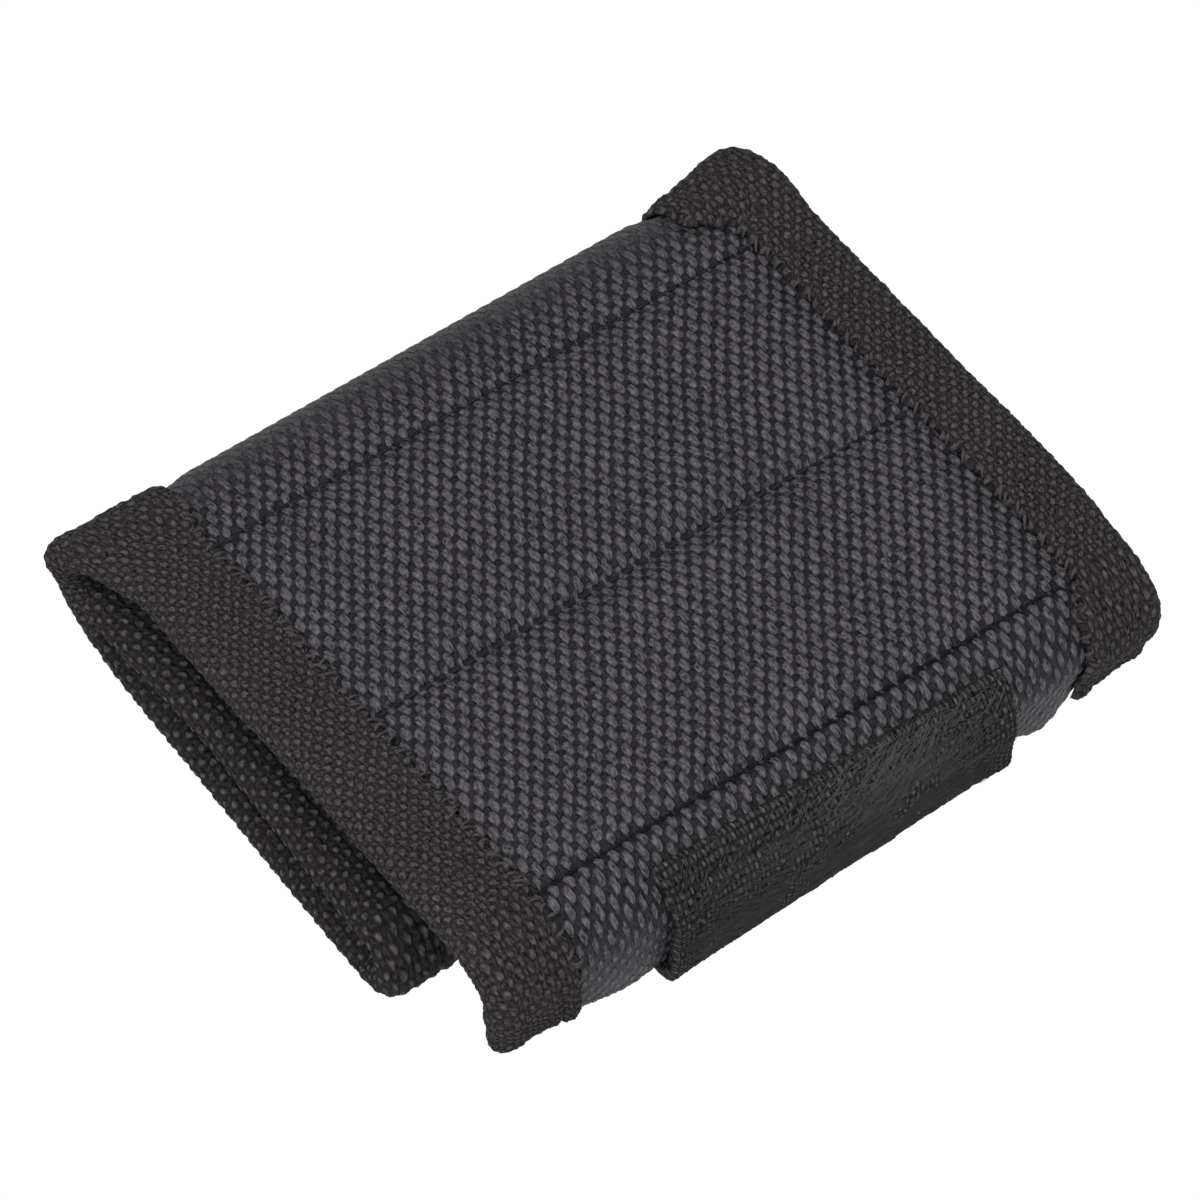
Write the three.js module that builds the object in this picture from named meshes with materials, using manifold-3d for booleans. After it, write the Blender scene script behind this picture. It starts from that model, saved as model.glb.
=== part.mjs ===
// Magnetic wristband, folded flat: a padded fabric band with sewn-in disc magnets,
// bound along both long edges and closed by a hook-and-loop tab at its outer end.
// Millimetres, +Z up, -Y to the front where the flap hangs, +X along the band's width.
// The origin is the bottom centre of the folded band's bounding box.
import * as THREE from "three";
import { mergeVertices } from "three/addons/utils/BufferGeometryUtils.js";
import ManifoldModule from "manifold-3d";

// Band width and its edge binding
const BAND_WIDTH = 90;
const BINDING_WIDTH = 10;
const BINDING_CLOTH = 0.8;
const BINDING_EDGE_SIDES = 6;

// Layers of the padded panel, and the clearance between neighbouring pieces
const COVER_CLOTH = 0.8;
const LINING_CLOTH = 0.8;
const FOAM = 2.6;
const CLEARANCE = 0.3;

// Sewn pockets: pitch of the stitch lines, and how far the padding takes to rise from a seam
const BASE_PITCH = 25.9;
const TOP_PITCH = 28.7;
const POCKET_RISE = 6;
const RISE_STEPS = 3;
const FOAM_INSET = 2.4;
const SPINE_PADDING = 0.55;
const FLAP_PADDING = 0.35;

// Folded shape, seen from the side
const NOSE_SPACE = 2.2;
const END_SPACE = 0.6;
const OVER_SPACE = 1.2;
const SPINE_LEAD = 5.2;
const TOP_RISE = 3;
const BEND_RADIUS = 6.3;
const BEND_TURN = THREE.MathUtils.degToRad(92);
const FLAP_TUCK = THREE.MathUtils.degToRad(20);
const FLAP_LENGTH = 7.9;
const INNER_SHORTFALL = 1.2;
const NOSE_AXIS_DEPTH = 0.26;
const NOSE_STEPS = 8;
const FOLD_STEPS = 12;
const BEND_STEPS = 6;

// Folded shape, seen from above: layers that lie skewed, and a back fold that spreads at its ends
const NOSE_SKEW = 3.1;
const FOLD_SKEW = 1.1;
const FLAP_SKEW = 1.8;
const FOLD_SPREAD = 1.7;
const SPREAD_WIDTH = 20;

// Disc magnets, two to a pocket
const MAGNET_DIAMETER = 15;
const MAGNET_THICKNESS = 1.6;
const MAGNET_SPACING = 34;
const MAGNET_FLOOR = 0.4;
const MAGNET_SIDES = 24;

// Hook patch at the inner end, and the closing tab at the outer end
const PATCH_WIDTH = 46;
const PATCH_LENGTH = 18;
const PATCH_THICKNESS = 1.2;
const TAB_WIDTH = 45.5;
const TAB_PLY = 0.7;
const TAB_TOP_MARGIN = 3.5;
const TAB_ROOT_LENGTH = 6;
const TAB_FOLD_STEPS = 8;
const HEM_STEPS = 6;

// Values that follow from the sizes above
const HALF_WIDTH = BAND_WIDTH / 2;
const CLOTH_EDGE = HALF_WIDTH - BINDING_CLOTH - 3 * CLEARANCE;
const BOUND_FROM = HALF_WIDTH - BINDING_WIDTH;
const SEAM_HALF_GAP = CLEARANCE / 2;
const LIFT = FOAM / 2 + CLEARANCE - SEAM_HALF_GAP;
const OUTER_REACH = SEAM_HALF_GAP + LIFT + COVER_CLOTH;
const INNER_REACH = SEAM_HALF_GAP + LIFT + LINING_CLOTH;
const PANEL = OUTER_REACH + INNER_REACH;
const BINDING_INSIDE = SEAM_HALF_GAP + Math.max(COVER_CLOTH, LINING_CLOTH) + CLEARANCE;
const BINDING_OUTSIDE = BINDING_INSIDE + BINDING_CLOTH;
const NOSE_RADIUS = INNER_REACH + NOSE_SPACE / 2;
const INNER_LENGTH = 2 * BASE_PITCH - INNER_SHORTFALL;
const INNER_SLOPE = Math.asin((NOSE_SPACE - END_SPACE) / INNER_LENGTH);
const PATCH_STACK = CLEARANCE + PATCH_THICKNESS;
const FOLD_RADIUS = INNER_REACH + (END_SPACE + PANEL + PATCH_STACK + OVER_SPACE) / 2;
const TOP_LENGTH = SPINE_LEAD + 2 * TOP_PITCH;
const TOP_SLOPE = Math.asin(TOP_RISE / TOP_LENGTH);

const wasm = await ManifoldModule();
wasm.setup();

// Fabrics, foam and metal, as seen in the photograph
function finish(color, roughness, metalness = 0) {
  return () => new THREE.MeshStandardMaterial({ color, roughness, metalness });
}
const coverCloth = finish(0x2b292e, 0.85);
const liningMesh = finish(0x1b1b1d, 0.95);
const bindingTape = finish(0x2a2826, 0.9);
const paddingFoam = finish(0x3c3c3f, 0.95);
const nickelPlate = finish(0xb9bcc0, 0.25, 1);
const loopPile = finish(0x23231f, 1);
const tabWebbing = finish(0x262522, 0.92);
const hookTape = finish(0x1d1d1e, 0.7);

// The middle line of the band in the side view, from its inner end to its flap.
// Each piece is straight or turns clockwise, so the outer face is always on the left.
class BandPath {
  constructor(pieces, heading) {
    this.pieces = [];
    let pose = { f: 0, z: 0, heading };
    let s = 0;
    for (const { length, radius } of pieces) {
      this.pieces.push({ from: s, length, radius, start: pose });
      pose = BandPath.step(pose, radius, length);
      s += length;
    }
    this.length = s;
  }

  static step(pose, radius, run) {
    if (!radius) {
      const f = pose.f + run * Math.cos(pose.heading);
      const z = pose.z + run * Math.sin(pose.heading);
      return { f, z, heading: pose.heading };
    }
    const heading = pose.heading - run / radius;
    const f = pose.f + radius * (Math.sin(pose.heading) - Math.sin(heading));
    const z = pose.z - radius * (Math.cos(pose.heading) - Math.cos(heading));
    return { f, z, heading };
  }

  at(s) {
    const piece = this.pieces.findLast((each) => each.from <= s) ?? this.pieces[0];
    return BandPath.step(piece.start, piece.radius, s - piece.from);
  }
}

const path = new BandPath(
  [
    { length: INNER_LENGTH },
    { length: NOSE_RADIUS * (Math.PI + INNER_SLOPE), radius: NOSE_RADIUS },
    { length: 2 * BASE_PITCH },
    { length: FOLD_RADIUS * (Math.PI - TOP_SLOPE), radius: FOLD_RADIUS },
    { length: TOP_LENGTH },
    { length: BEND_RADIUS * BEND_TURN, radius: BEND_RADIUS },
    { length: FLAP_LENGTH },
  ],
  INNER_SLOPE,
);
const [, nosePiece, basePiece, foldPiece, topPiece, bendPiece, flapPiece] = path.pieces;
const LINE_1 = topPiece.from + SPINE_LEAD;
const FLOOR = basePiece.start.z - OUTER_REACH;

// Value between knots along the band
function between(s, knots) {
  const next = knots.findIndex(([at]) => at >= s);
  if (next < 1) {
    return next < 0 ? knots.at(-1)[1] : knots[0][1];
  }
  const [[fromS, from], [toS, to]] = knots.slice(next - 1, next + 1);
  return THREE.MathUtils.mapLinear(s, fromS, toS, from, to);
}

// The layers lie a little skewed: the nose runs out to the left and the flap to the right
const noseMiddle = nosePiece.from + nosePiece.length / 2;
const foldMiddle = foldPiece.from + (FOLD_RADIUS * Math.PI) / 2;
const skewKnots = [
  [0, -FOLD_SKEW],
  [noseMiddle, -NOSE_SKEW],
  [foldMiddle, -FOLD_SKEW],
  [LINE_1, 0],
  [path.length, FLAP_SKEW],
];
// The bound edges stand apart where they turn round the back fold
const spreadKnots = [
  [basePiece.from, 0],
  [foldPiece.from, 0.8],
  [foldMiddle, 1],
  [topPiece.from, 0.7],
  [LINE_1, 0],
];
function sideways(s, across) {
  const nearEdge = THREE.MathUtils.clamp((Math.abs(across) - HALF_WIDTH) / SPREAD_WIDTH + 1, 0, 1);
  const spread = FOLD_SPREAD * between(s, spreadKnots) * nearEdge ** 2;
  return between(s, skewKnots) + Math.sign(across) * spread;
}

// The flap turns further under towards its right end
function poseAt(s, across) {
  if (s <= bendPiece.from) {
    return path.at(s);
  }
  const turn = BEND_TURN + (FLAP_TUCK * (across + HALF_WIDTH)) / BAND_WIDTH;
  const run = Math.min(s - bendPiece.from, bendPiece.length);
  const bent = BandPath.step(bendPiece.start, bendPiece.length / turn, run);
  return BandPath.step(bent, 0, Math.max(s - flapPiece.from, 0));
}

// A point of the band: along it, across it, and off its middle line towards the outer face
function bandPoint(s, across, off) {
  const { f, z, heading } = poseAt(s, across);
  const forward = f - off * Math.sin(heading);
  const up = z + off * Math.cos(heading) - FLOOR;
  return new THREE.Vector3(across + sideways(s, across), -forward, up);
}

// Closed body from two grids of points, the first on its outer face
function closedGrid(outer, inner) {
  const rows = outer.length;
  const columns = outer[0].length;
  const points = [...outer.flat(), ...inner.flat()];
  const index = [];
  const quad = (a, b, c, d) => index.push(a, b, c, a, c, d);
  const top = (i, j) => i * columns + j;
  const under = (i, j) => rows * columns + top(i, j);
  for (let i = 0; i + 1 < rows; i += 1) {
    for (let j = 0; j + 1 < columns; j += 1) {
      quad(top(i, j), top(i + 1, j), top(i + 1, j + 1), top(i, j + 1));
      quad(under(i, j), under(i, j + 1), under(i + 1, j + 1), under(i + 1, j));
    }
    quad(top(i, 0), under(i, 0), under(i + 1, 0), top(i + 1, 0));
    const last = columns - 1;
    quad(top(i, last), top(i + 1, last), under(i + 1, last), under(i, last));
  }
  for (let j = 0; j + 1 < columns; j += 1) {
    quad(top(0, j), top(0, j + 1), under(0, j + 1), under(0, j));
    const last = rows - 1;
    quad(top(last, j), under(last, j), under(last, j + 1), top(last, j + 1));
  }
  return facingOut(new THREE.BufferGeometry().setFromPoints(points), index);
}

// Closed body swept from a closed section that stands at each station along the band
function sweptSection(section, stations) {
  const points = [];
  const index = [];
  const count = section.length;
  for (const s of stations) {
    points.push(...section.map(({ x, y }) => bandPoint(s, x, y)));
  }
  for (let i = 0; i + 1 < stations.length; i += 1) {
    for (let j = 0; j < count; j += 1) {
      const a = i * count + j;
      const b = i * count + ((j + 1) % count);
      index.push(a, a + count, b + count, a, b + count, b);
    }
  }
  const lastRing = (stations.length - 1) * count;
  for (const [a, b, c] of THREE.ShapeUtils.triangulateShape(section, [])) {
    index.push(a, b, c, lastRing + a, lastRing + c, lastRing + b);
  }
  return facingOut(new THREE.BufferGeometry().setFromPoints(points), index);
}

// Turns every face outwards when the body came out inside out
function facingOut(geometry, index) {
  const at = geometry.getAttribute("position");
  const [a, b, c] = [new THREE.Vector3(), new THREE.Vector3(), new THREE.Vector3()];
  let volume = 0;
  for (let i = 0; i < index.length; i += 3) {
    a.fromBufferAttribute(at, index[i]);
    b.fromBufferAttribute(at, index[i + 1]);
    c.fromBufferAttribute(at, index[i + 2]);
    volume += a.dot(b.cross(c));
  }
  geometry.setIndex(volume > 0 ? index : index.toReversed());
  return geometry;
}

function toSolid(geometry) {
  const bare = geometry.clone();
  bare.deleteAttribute("normal");
  bare.deleteAttribute("uv");
  const merged = mergeVertices(bare);
  const vertProperties = new Float32Array(merged.getAttribute("position").array);
  const triVerts = new Uint32Array(merged.getIndex().array);
  return new wasm.Manifold(new wasm.Mesh({ numProp: 3, vertProperties, triVerts }));
}

function fromSolid(solid) {
  const { numProp, vertProperties, triVerts } = solid.getMesh();
  const geometry = new THREE.BufferGeometry();
  geometry.setAttribute("position", new THREE.BufferAttribute(vertProperties, numProp));
  return geometry.setIndex(new THREE.BufferAttribute(triVerts, 1));
}

const band = new THREE.Group();
function add(name, geometry, material) {
  const mesh = new THREE.Mesh(geometry, material());
  mesh.name = name;
  band.add(mesh);
  return mesh;
}

// Stations along or across the band
function evenly(from, to, steps) {
  return Array.from({ length: steps + 1 }, (_, i) => from + ((to - from) * i) / steps);
}
function pocketStations({ from, to }) {
  return [...evenly(from, from + POCKET_RISE, RISE_STEPS), ...evenly(to - POCKET_RISE, to, RISE_STEPS)];
}
function acrossStations() {
  const rise = evenly(BOUND_FROM, BOUND_FROM - POCKET_RISE, RISE_STEPS);
  const right = [CLOTH_EDGE, ...rise];
  return [...right, ...right.map((x) => -x).reverse()];
}

// How full the padding stands at a point: 0 on a seam, 1 in the middle of a pocket
function ramp(distance) {
  return Math.sin((Math.PI / 2) * THREE.MathUtils.clamp(distance / POCKET_RISE, 0, 1));
}
function fullness(pockets, s, x) {
  const pocket = pockets.find(({ from, to }) => s >= from && s <= to);
  if (!pocket) {
    return 0;
  }
  const { from, to, padding = 1 } = pocket;
  return padding * ramp(Math.min(s - from, to - s)) * ramp(BOUND_FROM - Math.abs(x));
}

// The stretches of the band that move as one, with the pockets sewn in each
function stretch(name, from, to, pockets, stations) {
  return { name, from, to, pockets, stations };
}
function twoPockets(from, pitch) {
  return [
    { from, to: from + pitch },
    { from: from + pitch, to: from + 2 * pitch },
  ];
}
const innerPockets = twoPockets(0, INNER_LENGTH / 2);
const basePockets = twoPockets(basePiece.from, BASE_PITCH);
const topPockets = twoPockets(LINE_1, TOP_PITCH);
const spinePockets = [{ from: foldPiece.from, to: LINE_1, padding: SPINE_PADDING }];
const flapPockets = [{ from: bendPiece.from, to: path.length, padding: FLAP_PADDING }];
const foldStations = evenly(foldPiece.from, topPiece.from, FOLD_STEPS);
const leadStations = evenly(topPiece.from, LINE_1, RISE_STEPS);
const bendStations = evenly(bendPiece.from, flapPiece.from, BEND_STEPS);
const stretches = [
  stretch("inner", 0, nosePiece.from, innerPockets, innerPockets.flatMap(pocketStations)),
  stretch("nose", nosePiece.from, basePiece.from, [], evenly(nosePiece.from, basePiece.from, NOSE_STEPS)),
  stretch("base", basePiece.from, foldPiece.from, basePockets, basePockets.flatMap(pocketStations)),
  stretch("spine", foldPiece.from, LINE_1, spinePockets, [...foldStations, ...leadStations]),
  stretch("top", LINE_1, bendPiece.from, topPockets, topPockets.flatMap(pocketStations)),
  stretch("bend", bendPiece.from, flapPiece.from, flapPockets, bendStations),
  stretch("flap", flapPiece.from, path.length, flapPockets, evenly(flapPiece.from, path.length, RISE_STEPS)),
];

// Stations of one stretch, without doubles and clear of the neighbouring stretches
function trimmed({ from, to, stations }) {
  const low = from + CLEARANCE / 2;
  const high = to - CLEARANCE / 2;
  const inside = stations.filter((s, i) => s > low && s < high && s - stations[i - 1] > CLEARANCE / 10);
  return [low, ...inside, high];
}

// Cloth sheet on one side of the padding: side 1 is the outer cover, side -1 the lining
function clothSheet(piece, side, cloth) {
  const columns = acrossStations();
  const inside = (s, x) => side * (SEAM_HALF_GAP + LIFT * fullness(piece.pockets, s, x));
  const grid = (extra) =>
    trimmed(piece).map((s) => columns.map((x) => bandPoint(s, x, inside(s, x) + side * extra)));
  return closedGrid(grid(cloth), grid(0));
}

// Binding tape folded over one edge, as a U-shaped section
function bindingSection(side) {
  const edge = [];
  const centre = HALF_WIDTH - BINDING_OUTSIDE;
  for (const angle of evenly(Math.PI / 2, -Math.PI / 2, BINDING_EDGE_SIDES)) {
    edge.push([centre + BINDING_OUTSIDE * Math.cos(angle), BINDING_OUTSIDE * Math.sin(angle)]);
  }
  const inner = HALF_WIDTH - BINDING_CLOTH;
  const corner = inner - 2 * CLEARANCE;
  const outline = [
    [BOUND_FROM, BINDING_INSIDE],
    [BOUND_FROM, BINDING_OUTSIDE],
    ...edge,
    [BOUND_FROM, -BINDING_OUTSIDE],
    [BOUND_FROM, -BINDING_INSIDE],
    [corner, -BINDING_INSIDE],
    [inner, -BINDING_INSIDE / 2],
    [inner, BINDING_INSIDE / 2],
    [corner, BINDING_INSIDE],
  ];
  const section = outline.map(([x, off]) => new THREE.Vector2(side * x, off));
  return side > 0 ? section.reverse() : section;
}

// A straight stretch of binding needs only its two ends
function bindingStations(piece) {
  const stations = trimmed(piece);
  const straight = path.at(piece.from).heading - path.at(stations.at(-1)).heading < CLEARANCE / HALF_WIDTH;
  return straight ? [stations[0], stations.at(-1)] : stations;
}

for (const piece of stretches) {
  const along = bindingStations(piece);
  add(`${piece.name}_cover`, clothSheet(piece, 1, COVER_CLOTH), coverCloth);
  add(`${piece.name}_lining`, clothSheet(piece, -1, LINING_CLOTH), liningMesh);
  add(`${piece.name}_binding_left`, sweptSection(bindingSection(-1), along), bindingTape);
  add(`${piece.name}_binding_right`, sweptSection(bindingSection(1), along), bindingTape);
}

// Foam of one pocket, drawn in towards its seams
function foamPad(pockets, pocket, stations) {
  const low = pocket.from + FOAM_INSET;
  const high = pocket.to - FOAM_INSET;
  const rows = [low, ...stations.filter((s) => s > low + CLEARANCE && s < high - CLEARANCE), high];
  const edge = BOUND_FROM - FOAM_INSET;
  const columns = [edge, ...acrossStations().filter((x) => Math.abs(x) < edge - CLEARANCE), -edge];
  const half = (s, x) => SEAM_HALF_GAP + LIFT * fullness(pockets, s, x) - CLEARANCE;
  const grid = (side) => rows.map((s) => columns.map((x) => bandPoint(s, x, side * half(s, x))));
  return closedGrid(grid(1), grid(-1));
}

// Disc standing on the band at a place, from one offset to another
function disc(radius, s, x, from, to) {
  const geometry = new THREE.CylinderGeometry(radius, radius, to - from, MAGNET_SIDES);
  const place = bandPoint(s, x, (from + to) / 2);
  const normal = bandPoint(s, x, to).sub(bandPoint(s, x, from)).normalize();
  const turn = new THREE.Quaternion().setFromUnitVectors(new THREE.Vector3(0, 1, 0), normal);
  return geometry.applyQuaternion(turn).translate(place.x, place.y, place.z);
}

// Pockets with two magnets each, let into the foam from its outer side
function magnetPocket(owner, pockets, number) {
  const pocket = pockets[number];
  const middle = (pocket.from + pocket.to) / 2;
  const recessFloor = MAGNET_FLOOR - FOAM / 2;
  const magnetFoot = recessFloor + CLEARANCE;
  let foam = toSolid(foamPad(pockets, pocket, pocketStations(pocket)));
  for (const [i, x] of [-MAGNET_SPACING / 2, MAGNET_SPACING / 2].entries()) {
    foam = foam.subtract(toSolid(disc(MAGNET_DIAMETER / 2 + CLEARANCE, middle, x, recessFloor, FOAM)));
    const magnet = disc(MAGNET_DIAMETER / 2, middle, x, magnetFoot, magnetFoot + MAGNET_THICKNESS);
    add(`${owner}_magnet_${2 * number + i + 1}`, magnet, nickelPlate);
  }
  add(`${owner}_foam_${number + 1}`, fromSolid(foam), paddingFoam);
}
for (const [owner, pockets] of Object.entries({ inner: innerPockets, base: basePockets, top: topPockets })) {
  magnetPocket(owner, pockets, 0);
  magnetPocket(owner, pockets, 1);
}
const spineStretch = stretches.find(({ name }) => name === "spine");
add("spine_foam", foamPad(spinePockets, spinePockets[0], spineStretch.stations), paddingFoam);

// Cloth wrapped round an end of the band: a half ring from one face to the other
function endWrap(end, outwards, halfWidth, radius, cloth, steps) {
  const onwards = (x) => {
    const { heading } = poseAt(end, x);
    return new THREE.Vector3(0, -Math.cos(heading), Math.sin(heading)).multiplyScalar(outwards);
  };
  const wrapped = (x, r, angle) =>
    bandPoint(end, x, r * Math.sin(angle)).addScaledVector(onwards(x), r * Math.cos(angle));
  const wrap = (r) =>
    evenly(Math.PI / 2, -Math.PI / 2, steps).map((angle) =>
      [halfWidth, -halfWidth].map((x) => wrapped(x, r, angle)),
    );
  return closedGrid(wrap(radius + cloth), wrap(radius));
}
const hemHalf = BOUND_FROM - CLEARANCE;
add("inner_end_hem", endWrap(0, -1, hemHalf, SEAM_HALF_GAP, COVER_CLOTH, HEM_STEPS), coverCloth);
add("flap_end_hem", endWrap(path.length, 1, hemHalf, SEAM_HALF_GAP, COVER_CLOTH, HEM_STEPS), coverCloth);

// Flat strip that lies along the band at a constant height off its middle line
function strip(stations, width, from, to) {
  const columns = [width / 2, -width / 2];
  const grid = (off) => stations.map((s) => columns.map((x) => bandPoint(s, x, off)));
  return closedGrid(grid(Math.max(from, to)), grid(Math.min(from, to)));
}

// Hook patch sewn over the first pocket of the inner end
const patchMiddle = (innerPockets[0].from + innerPockets[0].to) / 2;
const patchEnds = [patchMiddle - PATCH_LENGTH / 2, patchMiddle + PATCH_LENGTH / 2];
const patchFoot = OUTER_REACH + CLEARANCE;
add("hook_patch", strip(patchEnds, PATCH_WIDTH, patchFoot, patchFoot + PATCH_THICKNESS), hookTape);

// Closing tab: sewn inside the flap, turned round its end and laid up its outer face
const tabFoot = SEAM_HALF_GAP + LIFT * FLAP_PADDING + COVER_CLOTH + CLEARANCE;
const tabSeam = tabFoot + TAB_PLY;
const tabFrom = bendPiece.from + TAB_TOP_MARGIN;
const tabBend = bendStations.filter((s) => s > tabFrom + CLEARANCE);
const tabEnd = path.length - CLEARANCE;
const tabStations = [tabFrom, ...tabBend, tabEnd];
const tabCloth = 2 * TAB_PLY + CLEARANCE;
const rootStations = [tabEnd - TAB_ROOT_LENGTH, tabEnd];
add("tab_webbing", strip(tabStations, TAB_WIDTH, tabFoot, tabSeam), tabWebbing);
add("tab_pile", strip(tabStations, TAB_WIDTH, tabSeam + CLEARANCE, tabFoot + tabCloth), loopPile);
add("tab_fold", endWrap(path.length, 1, TAB_WIDTH / 2, tabFoot, tabCloth, TAB_FOLD_STEPS), tabWebbing);
add("tab_root", strip(rootStations, TAB_WIDTH, -tabFoot, -tabFoot - tabCloth), tabWebbing);

// Stand the band on its base with the origin under the middle of its bounding box
const box = new THREE.Box3().setFromObject(band);
const middle = box.getCenter(new THREE.Vector3());
band.position.set(-middle.x, -middle.y, -box.min.z);

// Axis that flattens a turn of the band and keeps the length of its middle line
function flatteningAxis(from, radius, turn) {
  const reach = (radius * turn) / (2 * Math.tan(turn / 2) * Math.cos(turn / 2));
  return bandPoint(from + (radius * turn) / 2, 0, reach - radius);
}

// Fold axes in the frame of the finished part, along X but for the tab's, which follows the flap's end
const quarter = Math.PI / 2;
const secondQuarter = foldPiece.from + FOLD_RADIUS * quarter;
const middleTurn = BEND_TURN + FLAP_TUCK / 2;
const flapEnd = (x) => bandPoint(path.length, x, 0);
const axes = {
  spine: flatteningAxis(foldPiece.from, FOLD_RADIUS, quarter),
  top: flatteningAxis(secondQuarter, FOLD_RADIUS, quarter - TOP_SLOPE),
  flap: flatteningAxis(bendPiece.from, bendPiece.length / middleTurn, middleTurn),
  inner: bandPoint(nosePiece.from + nosePiece.length / 2, 0, -NOSE_RADIUS * NOSE_AXIS_DEPTH),
  tab: flapEnd(0).lerp(bandPoint(path.length - tabFoot, 0, 0), -1),
};
const part = new THREE.Group().add(band);
part.userData.foldAxes = Object.fromEntries(
  Object.entries(axes).map(([name, point]) => [name, point.setX(0).add(band.position).setX(0)]),
);

part.userData.tabLine = flapEnd(TAB_WIDTH / 2).sub(flapEnd(-TAB_WIDTH / 2)).normalize();

export default part;
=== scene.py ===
"""Dressed scene of a magnetic wristband that lies folded flat.

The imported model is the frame. Every cloth follows the same middle line as the frame's solids, so
the pieces sit where the solids are and bend with the folds.
"""
import logging
import math
from dataclasses import dataclass, field
from enum import Enum

import bpy
import numpy as np
from mathutils import Matrix, Vector


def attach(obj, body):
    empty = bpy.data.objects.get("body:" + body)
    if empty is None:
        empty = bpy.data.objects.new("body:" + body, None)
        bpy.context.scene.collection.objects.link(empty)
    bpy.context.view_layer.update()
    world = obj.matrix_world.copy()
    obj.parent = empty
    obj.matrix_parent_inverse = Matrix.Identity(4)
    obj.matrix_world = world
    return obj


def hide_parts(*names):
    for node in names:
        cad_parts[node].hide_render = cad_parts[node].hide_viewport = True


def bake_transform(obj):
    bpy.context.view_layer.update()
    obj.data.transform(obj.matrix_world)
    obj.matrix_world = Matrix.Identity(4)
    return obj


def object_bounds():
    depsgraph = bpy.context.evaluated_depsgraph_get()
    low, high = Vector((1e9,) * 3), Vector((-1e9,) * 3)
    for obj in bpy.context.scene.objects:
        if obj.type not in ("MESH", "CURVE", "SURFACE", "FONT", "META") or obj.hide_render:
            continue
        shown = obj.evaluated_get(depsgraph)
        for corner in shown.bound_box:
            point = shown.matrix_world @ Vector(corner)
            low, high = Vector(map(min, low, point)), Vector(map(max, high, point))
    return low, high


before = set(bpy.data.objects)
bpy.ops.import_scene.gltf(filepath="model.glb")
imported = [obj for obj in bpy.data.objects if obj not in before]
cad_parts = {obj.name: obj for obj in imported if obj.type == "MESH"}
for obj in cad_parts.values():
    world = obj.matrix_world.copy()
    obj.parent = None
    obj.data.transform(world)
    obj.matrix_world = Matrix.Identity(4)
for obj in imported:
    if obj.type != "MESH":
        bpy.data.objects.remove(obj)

MM = 0.001
UV_MM = 100.0
SHORTEST_SHEET = 0.01
LOG = logging.getLogger("wristband")
CAD_LOW, CAD_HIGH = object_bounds()
Colour = tuple[float, float, float, float]
Places = tuple[np.ndarray, np.ndarray]


class Side(Enum):
    """The two bound edges of the band, with the sign of their place across it."""

    LEFT = -1
    RIGHT = 1


class Face(Enum):
    """The two faces of the padded band, with the sign of their offset."""

    OUTER = 1
    INNER = -1


class Body(Enum):
    """The moving bodies of the frame."""

    BASE = "base"
    INNER_TURN = "inner_turn"
    SPINE = "spine"
    TOP = "top"
    FLAP = "flap"
    TAB = "tab"


class Slot(Enum):
    """Names of finishes; no piece here is given one."""

    COVER = "cover"
    LINING = "lining"
    BINDING = "binding"
    FOAM = "foam"
    LOOP_PILE = "loop_pile"
    TAB_WEBBING = "tab_webbing"
    HOOK_TAPE = "hook_tape"


class Held(Enum):
    """The ways in which the sheets are held."""

    STRETCHED = "stretched"
    FOLDED = "folded"


@dataclass(frozen=True)
class BandSizes:
    """Driving dimensions of the folded band, in millimetres, as its solids have them."""

    band_width: float = 90.0
    binding_width: float = 10.0
    cloth: float = 0.8
    foam: float = 2.6
    clearance: float = 0.3
    base_pitch: float = 25.9
    top_pitch: float = 28.7
    nose_space: float = 2.2
    end_space: float = 0.6
    over_space: float = 1.2
    spine_lead: float = 5.2
    top_rise: float = 3.0
    bend_radius: float = 6.3
    bend_turn: float = math.radians(92)
    flap_tuck: float = math.radians(20)
    flap_length: float = 7.9
    inner_shortfall: float = 1.2
    nose_skew: float = 3.1
    fold_skew: float = 1.1
    flap_skew: float = 1.8
    fold_spread: float = 1.7
    spread_width: float = 20.0
    spine_padding: float = 0.55
    flap_padding: float = 0.35
    patch_width: float = 46.0
    patch_length: float = 18.0
    patch: float = 1.2
    tab_width: float = 45.5
    tab_ply: float = 0.7
    tab_margin: float = 3.5
    tab_root: float = 6.0

    @property
    def half_width(self) -> float:
        """Half of the band's width."""
        return self.band_width / 2

    @property
    def bound_from(self) -> float:
        """Distance from the middle at which the binding starts."""
        return self.half_width - self.binding_width

    @property
    def cloth_edge(self) -> float:
        """Distance from the middle at which cover and lining end inside the binding."""
        return self.half_width - self.cloth - 3 * self.clearance

    @property
    def seam_gap(self) -> float:
        """Offset of a cloth's inside where the layers are sewn together."""
        return self.clearance / 2

    @property
    def lift(self) -> float:
        """How far the padding lifts a cloth in the middle of a pocket."""
        return self.foam / 2 + self.clearance - self.seam_gap

    @property
    def reach(self) -> float:
        """Offset of the outside of a full pocket."""
        return self.seam_gap + self.lift + self.cloth

    @property
    def binding_reach(self) -> float:
        """Offset of the outside of the binding."""
        return self.seam_gap + self.cloth + self.clearance + self.cloth

    @property
    def nose_radius(self) -> float:
        """Radius of the middle line round the nose."""
        return self.reach + self.nose_space / 2

    @property
    def inner_length(self) -> float:
        """Length of the inner turn."""
        return 2 * self.base_pitch - self.inner_shortfall

    @property
    def fold_radius(self) -> float:
        """Radius of the middle line round the back fold."""
        stack = self.end_space + 2 * self.reach + self.clearance + self.patch + self.over_space
        return self.reach + stack / 2

    @property
    def tab_foot(self) -> float:
        """Offset of the closing tab's underside."""
        return self.seam_gap + self.lift * self.flap_padding + self.cloth + self.clearance

    @property
    def tab_cloth(self) -> float:
        """Thickness of the closing tab."""
        return 2 * self.tab_ply + self.clearance


SIZES = BandSizes()


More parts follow.
